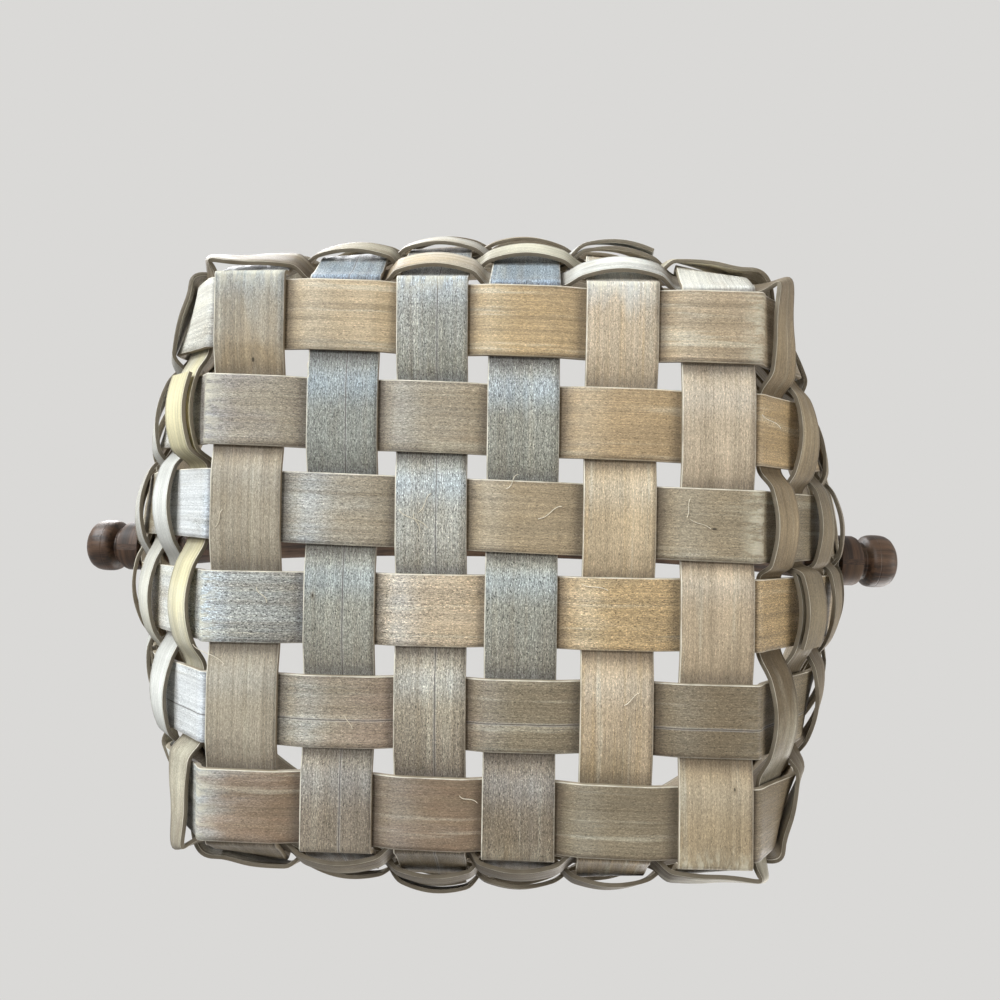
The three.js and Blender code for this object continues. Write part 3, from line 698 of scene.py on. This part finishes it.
def weaver_pass(row, number, start):
    """The weaver's two edges, with their headings, at the sides and the middle of one upright."""
    index = (start + number) % upright_count
    outside = (index + row) % 2 == 0
    facing = 1 if outside else -1
    along = index % splints_each_way
    arch = weaver_arch if outside else inside_arch
    if along in (0, splints_each_way - 1):
        arch *= corner_arch_share
    lengths, heights = meridians[index]
    pitch = lengths[-1] / weaver_rows
    half = min(weaver_width, pitch - weaver_row_gap) / 2
    lift = weaver_offset
    if number < lap_passes and not outside:
        lift += lap_shift
    if number >= upright_count and outside:
        lift += lap_shift
    knots = []
    climbs = [np.interp((row + 0.5) * pitch + side, lengths, heights) for side in (-half, 0, half)]
    for place in (-1, 0, 1):
        low, middle, high = [crossing_at(index, z, place) for z in climbs]
        bulge = (middle[0] - (low[0] + high[0]) / 2).dot(middle[2])
        flares = outside and place and along == (0 if place < 0 else splints_each_way - 1)
        flare = corner_flare / (row + 1) ** 2 if flares else 0
        away = facing * (lift + max(facing * bulge, 0) + (0 if place else arch) + flare)
        eased = -facing * arch_ease * 4 * arch / splint_width
        slope = place * (flare_slope if flare > flare_slope else eased)
        knots.append([(point + out * away, unit(level + out * slope)) for point, level, out in (low, high)])
    return knots


def hermite(start, end, t, fold):
    span = fold * np.linalg.norm(end[0] - start[0])
    return (start[0] * (2 * t ** 3 - 3 * t ** 2 + 1) + start[1] * span * (t ** 3 - 2 * t ** 2 + t)
            + end[0] * (3 * t ** 2 - 2 * t ** 3) + end[1] * span * (t ** 3 - t ** 2))


def weaver_stations(row):
    start = lap_starts[row]
    passes = [weaver_pass(row, number, start) for number in range(upright_count + lap_passes)]
    legs = []
    for number, knots in enumerate(passes):
        outside = (start + number + row) % 2 == 0
        # Painted shade: none on the middle of an outside pass, half at its edges, full behind an upright.
        middle_shade, edge_shade, next_edge_shade = (0, 0.5, 1) if outside else (1, 1, 0.5)
        legs += [(knots[0], knots[1], steps_over, 1, edge_shade, middle_shade),
                 (knots[1], knots[2], steps_over, 1, middle_shade, edge_shade)]
        if number + 1 < len(passes):
            at_corner = (start + number + 1) % splints_each_way == 0
            fold = 1 + corner_fold / (row + 1) ** 2 if at_corner else 1
            steps = corner_steps_between if at_corner else steps_between
            legs.append((knots[2], passes[number + 1][0], steps, fold, edge_shade, next_edge_shade))
    made = []
    for i, (begin, end, steps, fold, from_shade, to_shade) in enumerate(legs):
        last = i + 1 == len(legs)
        for step in range(steps + (1 if last else 0)):
            t = step / steps
            low, high = [hermite(begin[side], end[side], t, fold) for side in (0, 1)]
            made.append(((low + high) / 2, high - low, np.linalg.norm(high - low) / weaver_width, 1,
                         lerp(from_shade, to_shade, smooth_step(t)), 0))
    return made


def tones_round(start, length, look):
    """A look's stains by their distance along a weaver that starts at the given upright."""
    placed = sorted(((upright - start) % upright_count, stain) for upright, stain in look.items())
    first_upright, first_stain = placed[0]
    share = length / (upright_count + lap_passes)
    return {upright * share - length / 2: stain
            for upright, stain in [*placed, (first_upright + upright_count, first_stain)]}


# Stains by upright, 0 to 5 on -Y, 6 to 11 on +X, 12 to 17 on +Y and 18 to 23 on -X. They also carry painted
# light: mostly peat and umber on the +Y wall as painted shade, and mostly cream, butter and ash on the -X
# wall as painted light.
weaver_looks = (
    {0: "umber", 1: "taupe", 2: "straw", 4: "ash", 5: "taupe", 7: "tan", 8: "tan", 10: "umber", 12: "cream",
     13: "peat", 16: "peat", 18: "driftwood", 20: "cream", 21: "butter", 22: "butter", 23: "cream"},
    {1: "khaki", 4: "cream", 7: "tan", 10: "khaki", 13: "peat", 17: "peat", 19: "ash", 22: "ash"},
    {1: "tan", 4: "ash", 7: "khaki", 11: "umber", 15: "peat", 19: "cream", 22: "ash"},
    {1: "khaki", 4: "tan", 8: "khaki", 12: "umber", 15: "peat", 20: "ash"},
    {1: "tan", 5: "khaki", 9: "taupe", 13: "umber", 19: "driftwood", 22: "cream"},
    {1: "khaki", 5: "tan", 9: "umber", 14: "umber", 20: "khaki"},
)
weaver_ripple = 0.16

for row, look in enumerate(weaver_looks):
    stations = weaver_stations(row)
    tones = tones_round(lap_starts[row], path_length(stations), look)
    weaver = wooden_strip(f"wall_weaver_{row + 1}", stations, weaver_width, weaver_thickness, weaver_corner,
                          weaver_ripple, first_seed["weaver"] + row, columns=5, tones=tones, grit=0.6,
                          streaks=0.3, edge=0.6, cut="peat", sheen=0.1)
    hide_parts(f"wall_weaver_{row + 1}")
    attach(weaver, "basket")

# Rim hoops
# Two ovals of bent wood, one outside and one inside the splints' ends, with feathered ends that lap.
# Both are drilled for the bail's pins and for the nails that clench them together.
hoop_lap_deg = 14
hoop_tip_gap_deg = 0.4
hoop_feather = 0.6
hoop_corner = 0.6
hoop_ripple = 0.12
hoop_steps = 220
hoop_lap_steps = 14
shank_radius = 3.7
bore_clearance = 0.35
drill_sides = 32
nail_drill_length = 30
nail_drill_sides = 16
nail_radius = 0.6
nail_clearance = 0.4


def hoop_place(radii, angle):
    """A point on the middle of a hoop, and outwards there."""
    heading = unit(np.array((-radii[0] * math.sin(angle), radii[1] * math.cos(angle), 0)))
    middle = np.array((radii[0] * math.cos(angle), radii[1] * math.sin(angle), hoop_middle))
    return middle, np.array((heading[1], -heading[0], 0))


def hoop_stations(radii, lap_start_deg):
    lap = math.radians(hoop_lap_deg)
    tip_gap = math.radians(hoop_tip_gap_deg)
    turn = 2 * math.pi + lap
    full = hoop_thickness / 2
    feather = hoop_feather / 2
    lapped = (hoop_thickness - layer_gap) / 2 - feather
    steps = [i / hoop_lap_steps for i in range(hoop_lap_steps + 1)]
    start = [(lap * t, lerp(feather, lapped, t)) for t in steps]
    end = [(turn - travelled, thick) for travelled, thick in start[::-1]]
    steps = [i / hoop_steps for i in range(hoop_steps + 1)]
    between = [(lerp(lap + tip_gap, turn - lap - tip_gap, t), full) for t in steps]
    made = []
    for travelled, thick in start + between + end:
        middle, outwards = hoop_place(radii, math.radians(lap_start_deg) + travelled)
        side = 1 if travelled < turn / 2 else -1
        made.append((middle + outwards * side * (full - thick), np.array((0, 0, 1)), 1, thick / full, 0, 0))
    return made


def nail_place(angle):
    """Where a nail's head sits on the outer hoop, and the way that it faces."""
    middle, outwards = hoop_place(outer_hoop_radii, angle)
    return middle + outwards * hoop_thickness / 2, outwards


def drilled(piece, places, length, sides=drill_sides):
    """Cuts round holes through a piece, each given by its middle, direction and radius."""
    work = bmesh.new()
    for middle, direction, radius in places:
        turned = Vector(direction).to_track_quat("Z", "Y").to_matrix().to_4x4()
        bmesh.ops.create_cone(work, cap_ends=True, segments=sides, radius1=radius * mm, radius2=radius * mm,
                              depth=length * mm, matrix=Matrix.Translation(Vector(middle) * mm) @ turned)
    drills = bpy.data.meshes.new("drill")
    work.to_mesh(drills)
    work.free()
    tool = add_object("drill", drills)
    cut = piece.modifiers.new("drill", "BOOLEAN")
    cut.operation = "DIFFERENCE"
    cut.solver = "EXACT"
    cut.object = tool
    mesh = bpy.data.meshes.new_from_object(piece.evaluated_get(bpy.context.evaluated_depsgraph_get()))
    piece.modifiers.clear()
    piece.data = mesh
    mesh.name = piece.name
    mesh.set_sharp_from_angle(angle=sharp_angle)
    bpy.data.objects.remove(tool)


spaces = [space for space in range(0, upright_count, 2) if space % (upright_count // 2)]
nail_angles = [space * 2 * math.pi / upright_count for space in spaces]
inner_inset = rim_inset + (hoop_thickness + splint_thickness) / 2 + inner_hoop_gap
inner_hoop_radii = tuple(radius - inner_inset for radius in outer_hoop_radii)
pin_bore = ((0, 0, hoop_middle), (1, 0, 0), shank_radius + bore_clearance)
nail_bores = [(*nail_place(angle), nail_radius + nail_clearance) for angle in nail_angles]

for name, radii, lap_start, seed, tones in (
        ("outer_rim_hoop", outer_hoop_radii, 100, 50, {-380: "tan", -150: "khaki", 60: "taupe", 300: "tan"}),
        ("inner_rim_hoop", inner_hoop_radii, 280, 51, {-380: "taupe", -100: "tan", 150: "khaki"})):
    hoop = wooden_strip(name, hoop_stations(radii, lap_start), hoop_height, hoop_thickness, hoop_corner,
                        hoop_ripple, seed, tones=tones, grit=0.8, streaks=0.4)
    drilled(hoop, [pin_bore], 2 * rim_span[0])
    drilled(hoop, nail_bores, nail_drill_length, nail_drill_sides)
    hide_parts(name)
    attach(hoop, "basket")

# Rim nails
# Ten small steel nails hold the hoops together, driven from outside in every second space between the
# splints. One tree sets the same forged nail, with its slightly domed head, at each place, and turns it.
nail_head_radius = 2
nail_head_thickness = 0.6
nail_seat = 0.4
nail_point = 0.5
nail_sides = 20
nail_grip = inner_inset + hoop_thickness + nail_point


def turned_mesh(name, profile, sides):
    """A turned solid round its own Z axis, from (radius, height) pairs. They start and end on the axis, or
    come back to where they started, as for a ring."""
    work = bmesh.new()
    rings = []
    for radius, height in profile:
        count = 1 if radius == 0 else sides
        turns = [2 * math.pi * i / sides for i in range(count)]
        ring = [Vector((radius * math.cos(turn), radius * math.sin(turn), height)) for turn in turns]
        rings.append([work.verts.new(point * mm) for point in ring])
    for low, high in zip(rings, rings[1:]):
        for i in range(sides):
            corners = [low[i % len(low)], low[(i + 1) % len(low)],
                       high[(i + 1) % len(high)], high[i % len(high)]]
            work.faces.new(list(dict.fromkeys(corners)))
    bmesh.ops.recalc_face_normals(work, faces=work.faces)
    mesh = bpy.data.meshes.new(name)
    work.to_mesh(mesh)
    work.free()
    mesh.shade_smooth()
    mesh.set_sharp_from_angle(angle=sharp_angle)
    return mesh


def nail_finish():
    material, node, _, _, mixed = new_material("nail_steel")
    place = node("ShaderNodeTexCoord")["Object"]
    dents = node("ShaderNodeTexNoise", Vector=place, Scale=900.0, Detail=3.0)[0]
    rust = node("ShaderNodeTexNoise", Vector=place, Scale=350.0, Detail=5.0)[0]
    rusted = node("ShaderNodeMapRange", Value=rust, From_Min=0.52, From_Max=0.68)[0]
    rough = node("ShaderNodeMapRange", Value=rust, From_Min=0.35, From_Max=0.7, To_Min=0.28, To_Max=0.65)[0]
    metal = mixed(rusted, colour("#b4b2ac"), colour("#5c4633"))
    bump = node("ShaderNodeBump", Strength=0.6, Distance=0.06 * mm, Height=dents)[0]
    coated(node, Base_Color=metal, Roughness=rough, Metallic=1.0, Normal=bump)
    return material


def nail_tree():
    tree, node, _, given = new_tree("nails_round_the_rim", Nail="Object", Turn="Float", Seed="Int",
                                    Material="Material")
    nail = node("GeometryNodeObjectInfo", Object=given["Nail"])["Geometry"]
    facing = node("FunctionNodeAlignRotationToVector", {"axis": "Z"}, Vector=stored(node, "outwards"))[0]
    twist = node("FunctionNodeRandomValue", {"data_type": "FLOAT"}, _2=0.0, _3=given["Turn"],
                 Seed=given["Seed"])[1]
    spun = node("FunctionNodeRotateRotation", {"rotation_space": "LOCAL"}, Rotation=facing,
                Rotate_By=vector(node, z=twist))[0]
    set_in = node("GeometryNodeInstanceOnPoints", Points=given["Geometry"], Instance=nail, Rotation=spun)[0]
    close_tree(node, set_in, given["Material"])
    return tree


head_top = nail_seat + nail_head_thickness
nail = add_object("nail", turned_mesh("nail", (
    (0, -nail_grip), (nail_radius * 0.4, -nail_grip + 0.3), (nail_radius, -nail_grip + 1.2),
    (nail_radius, nail_seat), (nail_head_radius * 0.95, nail_seat), (nail_head_radius, nail_seat + 0.12),
    (nail_head_radius * 0.97, nail_seat + 0.28), (nail_head_radius * 0.78, head_top - 0.1),
    (nail_head_radius * 0.4, head_top - 0.02), (0, head_top)), nail_sides))
nail_places = line_object("nail_places", [place for place, _, _ in nail_bores])
store_on_points(nail_places, "outwards", [facing for _, facing, _ in nail_bores])
rim_nails = plain_piece("rim_nails", nail_places, nail_tree(), {
    "Nail": nail, "Turn": 2 * math.pi, "Seed": 5, "Material": nail_finish()})
bpy.data.objects.remove(nail)
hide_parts(*[f"rim_nail_{i + 1}" for i in range(len(nail_angles))])
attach(rim_nails, "basket")

# Bail
# A strip of ash, steamed, bent over the basket and stained dark. Its legs have rounded ends, drilled for the
# pins that it swings on.
bail_thickness = 7.4
bail_crown_thickness = 5.4
bail_width = 18
bail_crown_width = 20
bail_rise = 160
bail_leg = 14
bail_gap = 0.4
bail_corner = 1.1
bail_arch_steps = 120
bail_end_steps = 16
bail_tip_share = 0.12
bail_ripple = 0.15
bail_seed = 60
knob_seat_gap = 0.4

outer_face_x = outer_hoop_radii[0] + hoop_thickness / 2
bail_middle_x = outer_face_x + bail_gap + bail_thickness / 2
bail_outer_face = bail_middle_x + bail_thickness / 2


def bail_stations():
    end = bail_width / 2
    leg = []
    for i in range(bail_end_steps + 1):
        angle = math.pi / 2 * (1 - i / bail_end_steps)
        half = max(end * math.cos(angle), end * bail_tip_share)
        leg.append(((bail_middle_x, hoop_middle - end * math.sin(angle)), half, 1))
    arch = []
    for i in range(bail_arch_steps + 1):
        angle = math.pi * i / bail_arch_steps
        crown = math.sin(angle)
        place = (bail_middle_x * math.cos(angle), hoop_middle + bail_leg + (bail_rise - bail_leg) * crown)
        arch.append((place, lerp(bail_width, bail_crown_width, crown) / 2,
                     lerp(1, bail_crown_thickness / bail_thickness, crown)))
    other_leg = [((-x, z), half, thick) for (x, z), half, thick in leg[::-1]]
    return [(np.array((x, 0, z)), np.array((0, 1, 0)), half / end, thick, 0, 0)
            for (x, z), half, thick in leg + arch + other_leg]


def dark_finish(name, stretch, seed, roughness):
    """Walnut-stained wood under a satin oil, rubbed thin in places: long darker grain, open pores, and paler
    patches at random. Without a stretch, it follows the grain of a swept piece."""
    material, node, _, spread, mixed = new_material(name)

    def noise(size, detail, scale):
        turned = node("ShaderNodeMapping", Vector=place, Location=(seed, seed, seed), Scale=size)[0]
        return node("ShaderNodeTexNoise", Vector=turned, Scale=scale, Detail=detail, Roughness=0.65)[0]

    if stretch is None:
        place = node("ShaderNodeAttribute", {"attribute_name": "grain"})["Vector"]
        stretch = (0.06, 1, 1)
    else:
        place = node("ShaderNodeTexCoord")["Object"]
    figure = noise(stretch, 5, 420.0)
    fibres = noise(stretch, 4, 2600.0)
    patches = noise((1, 1, 1), 3, 45.0)
    wood = mixed(spread(figure, 0.36, 0.64), colour("#2b2019"), colour("#5b4434"))
    wood = mixed(spread(fibres, 0.56, 0.7, 0.0, 0.6), wood, colour("#17110d"))
    wood = mixed(spread(patches, 0.5, 0.72, 0.0, 0.35), wood, colour("#76604a"))
    bump = node("ShaderNodeBump", Strength=0.8, Distance=0.08 * mm, Height=fibres)[0]
    coated(node, Base_Color=wood, Normal=bump, Specular_IOR_Level=0.35,
           Roughness=spread(patches, 0.3, 0.7, roughness, roughness + 0.15))
    return material


bail = swept_piece("bail_dressed", bail_stations(), bail_width, bail_thickness, bail_corner,
                   dark_finish("bail_walnut", None, 2.0, 0.5), bail_ripple, bail_seed)
drilled(bail, [pin_bore], 3 * rim_span[0])
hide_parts("bail")
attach(bail, "handle")

# Pivot pins and collars
# Each pin is turned in one piece: a shank through the rim and the bail's leg, and a beaded knob outside.
# A collar glued on the shank inside the rim keeps the pin in.
knob_length = 13
knob_neck_radius = 7
collar_radius = 6.6
collar_thickness = 4
shank_beyond_collar = 1.2
turned_sides = 64

knob_seat = bail_outer_face + knob_seat_gap
inner_face = tuple(radius - hoop_thickness / 2 for radius in inner_hoop_radii)
collar_seat = inner_face[0] * math.sqrt(1 - (collar_radius / inner_face[1]) ** 2) - knob_seat_gap
shank_end = collar_seat - collar_thickness - shank_beyond_collar
pin_profile = [
    (0, shank_end), (shank_radius - 0.7, shank_end), (shank_radius - 0.15, shank_end + 0.35),
    (shank_radius, shank_end + 0.9), (shank_radius, knob_seat)]
knob_shape = (
    (0.9, 0), (1, 0.015), (1, 0.07), (0.97, 0.09), (0.955, 0.12), (0.97, 0.15), (1.05, 0.175), (1.2, 0.21),
    (1.29, 0.26), (1.335, 0.33), (1.355, 0.41), (1.345, 0.42), (1.345, 0.44), (1.357, 0.45), (1.357, 0.55),
    (1.345, 0.66), (1.3, 0.76), (1.2, 0.85), (1.03, 0.92), (0.8, 0.965), (0.5, 0.99), (0.28, 1),
    (0.22, 0.985), (0.1, 0.975), (0, 0.975))
pin_profile += [(knob_neck_radius * radius, knob_seat + knob_length * share) for radius, share in knob_shape]
bore = shank_radius + bore_clearance
collar_low = collar_seat - collar_thickness
collar_profile = [
    (bore, collar_low), (collar_radius - 1, collar_low), (collar_radius - 0.35, collar_low + 0.3),
    (collar_radius, collar_low + 1), (collar_radius, collar_seat - 0.3),
    (collar_radius - 0.3, collar_seat), (bore, collar_seat), (bore, collar_low)]
pin_wood = dark_finish("pin_walnut", (0.08, 1, 1), 7.0, 0.35)

for side, sign in (("left", -1), ("right", 1)):
    for piece_name, profile in (("pivot_pin", pin_profile), ("pin_collar", collar_profile)):
        mesh = turned_mesh(f"{piece_name}_{side}_dressed", profile, turned_sides)
        laid = Matrix.Translation((0, 0, hoop_middle * mm)) @ Matrix.Rotation(sign * math.pi / 2, 4, "Y")
        mesh.transform(laid)
        close_seams(mesh)
        mesh.materials.append(pin_wood)
        turned = add_object(mesh.name, mesh)
        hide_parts(f"{piece_name}_{side}")
        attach(turned, "basket")

# Loose fibres
# Fine pale slivers of split wood that have lifted from the rubbed base. They are curled, and lie against it.
fibre_radius = 0.085
fibre_lift = 0.1
fibre_places = (
    (-14, -13, 0.5, 9), (-11, -17, 2.1, 6), (-13, -12, 1.2, 5), (-54, 8, 0.9, 5), (22, -15, 2.6, 7),
    (61, -13, 0.4, 6), (58, -17, 1.7, 5), (12, -23, 2.2, 5), (-68, 24, 0.5, 10), (-66, -12, 1.9, 5),
    (34, 4, 0.2, 7), (-30, 41, 1.0, 4), (44, 33, 2.4, 5), (79, -40, 0.6, 6), (-43, -52, 1.5, 4),
    (2, 60, 0.3, 5))


def fibre_tree():
    tree, node, _, given = new_tree("curled_fibres", Radius="Float", Seed="Int", Material="Material")
    curl = node("GeometryNodeCurvePrimitiveBezierSegment", {"mode": "POSITION"}, Resolution=14,
                Start=(-0.5 * mm, 0, 0), Start_Handle=(-0.2 * mm, 0.45 * mm, 0.02 * mm),
                End_Handle=(0.1 * mm, -0.35 * mm, 0), End=(0.5 * mm, 0.1 * mm, 0))[0]
    turn = vector(node, z=stored(node, "turn", "FLOAT"))
    bend = node("FunctionNodeRandomValue", {"data_type": "FLOAT"}, _2=1.0, _3=3.5, Seed=given["Seed"])[1]
    size = vector(node, stored(node, "size", "FLOAT"), bend, 1.0)
    laid = node("GeometryNodeInstanceOnPoints", Points=given["Geometry"], Instance=curl, Rotation=turn,
                Scale=size)[0]
    laid = node("GeometryNodeRealizeInstances", Geometry=laid)[0]
    ring = node("GeometryNodeCurvePrimitiveCircle", Resolution=6, Radius=given["Radius"])[0]
    swept = node("GeometryNodeCurveToMesh", _0=laid, _1=ring, Fill_Caps=True)[0]
    close_tree(node, swept, given["Material"])
    return tree


fibre_material, node, _, _, mixed = new_material("fibre_wood")
fibre_spot = node("ShaderNodeTexCoord")["Object"]
fibre_tone = node("ShaderNodeTexNoise", Vector=fibre_spot, Scale=300.0, Detail=2.0)[0]
fibre_tint = mixed(fibre_tone, colour("#cdbf9f"), colour("#efe9da"))
coated(node, Base_Color=fibre_tint, Roughness=0.5)

fibre_points = line_object("fibre_points", [(x, y, -fibre_lift) for x, y, _, _ in fibre_places])
for label, column in (("turn", 2), ("size", 3)):
    store_on_points(fibre_points, label, [place[column] for place in fibre_places])
loose_fibres = plain_piece("loose_fibres", fibre_points, fibre_tree(), {
    "Radius": fibre_radius * mm, "Seed": 3, "Material": fibre_material})
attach(loose_fibres, "basket")

# Floor
# A pale floor just under the base. It shows from above only, lets light and reflections through, and takes
# the basket's shadow; further away it evens out into the colour of the background. Sizes here are in metres.
stage_colour = colour("#dad9d7")
floor_size = 40.0
floor_height = -0.0004
even_from = 0.15
even_by = 1.1

stage_material, node, maths, spread, _ = new_material("stage")
turned_away = node("ShaderNodeNewGeometry")["Backfacing"]
seen = node("ShaderNodeLightPath")["Is Camera Ray"]
solid = maths("MULTIPLY", seen, maths("SUBTRACT", 1.0, turned_away))
clear = node("ShaderNodeBsdfTransparent")[0]
matt = node("ShaderNodeBsdfDiffuse", Color=stage_colour)[0]
even = node("ShaderNodeEmission", Color=stage_colour, Strength=1.0)[0]
spot = node("ShaderNodeTexCoord")["Object"]
far = node("ShaderNodeVectorMath", {"operation": "LENGTH"}, _0=spot)["Value"]
evenness = spread(far, even_from, even_by, 0.5, 1.0)
matt = node("ShaderNodeMixShader", _0=evenness, _1=matt, _2=even)[0]
shown = node("ShaderNodeMixShader", _0=solid, _1=clear, _2=matt)[0]
node("ShaderNodeOutputMaterial", Surface=shown)

floor_mesh = bpy.data.meshes.new("floor")
floor_corners = [(x * floor_size, y * floor_size, floor_height)
                 for x, y in ((-1, -1), (1, -1), (1, 1), (-1, 1))]
floor_mesh.from_pydata(floor_corners, [], [(0, 1, 2, 3)])
floor_mesh.materials.append(stage_material)
floor = add_object("floor", floor_mesh)

# Light
# A large window to the camera's upper left, a low one that grazes the -X and -Y walls, and soft light from
# above for the views that look down on the basket.
world = bpy.data.worlds.new("studio")
scene.world = world
world.use_nodes = True
world.node_tree.nodes.clear()
node, maths, _, _ = tools_for(world.node_tree)
ambient = node("ShaderNodeBackground", Color=(0.95, 0.97, 1, 1), Strength=0.22)[0]
pale = node("ShaderNodeBackground", Color=stage_colour, Strength=1.0)[0]
rays = node("ShaderNodeLightPath")
direct = maths("MAXIMUM", rays["Is Camera Ray"], rays["Is Glossy Ray"])
direct = maths("MAXIMUM", direct, rays["Is Transmission Ray"])
both = node("ShaderNodeMixShader", _0=direct, _1=ambient, _2=pale)[0]
node("ShaderNodeOutputWorld", Surface=both)

for name, place, size, power, tint in (
        ("window_below", (-0.8, -0.8, -1.5), 0.6, 20, (0.98, 0.99, 1)),
        ("low_window", (-1.1, -1.3, -0.42), 0.7, 38, (0.88, 0.95, 1)),
        ("window_above", (-1.2, -1.4, 1.8), 1.2, 56, (0.97, 0.98, 1)),
        ("fill_above", (1.2, 1.6, 1), 1.6, 42, (1, 0.98, 0.95)),
        ("bright_room", (1.5, 0.1, -0.6), 0.9, 12, (1, 0.97, 0.92))):
    lamp_data = bpy.data.lights.new(name, "AREA")
    lamp_data.size = size
    lamp_data.energy = power
    lamp_data.color = tint
    lamp = add_object(name, lamp_data)
    lamp.location = place
    lamp.rotation_mode = "QUATERNION"
    lamp.rotation_quaternion = (-Vector(place)).to_track_quat("-Z", "Y")

scene.view_settings.view_transform = "Standard"
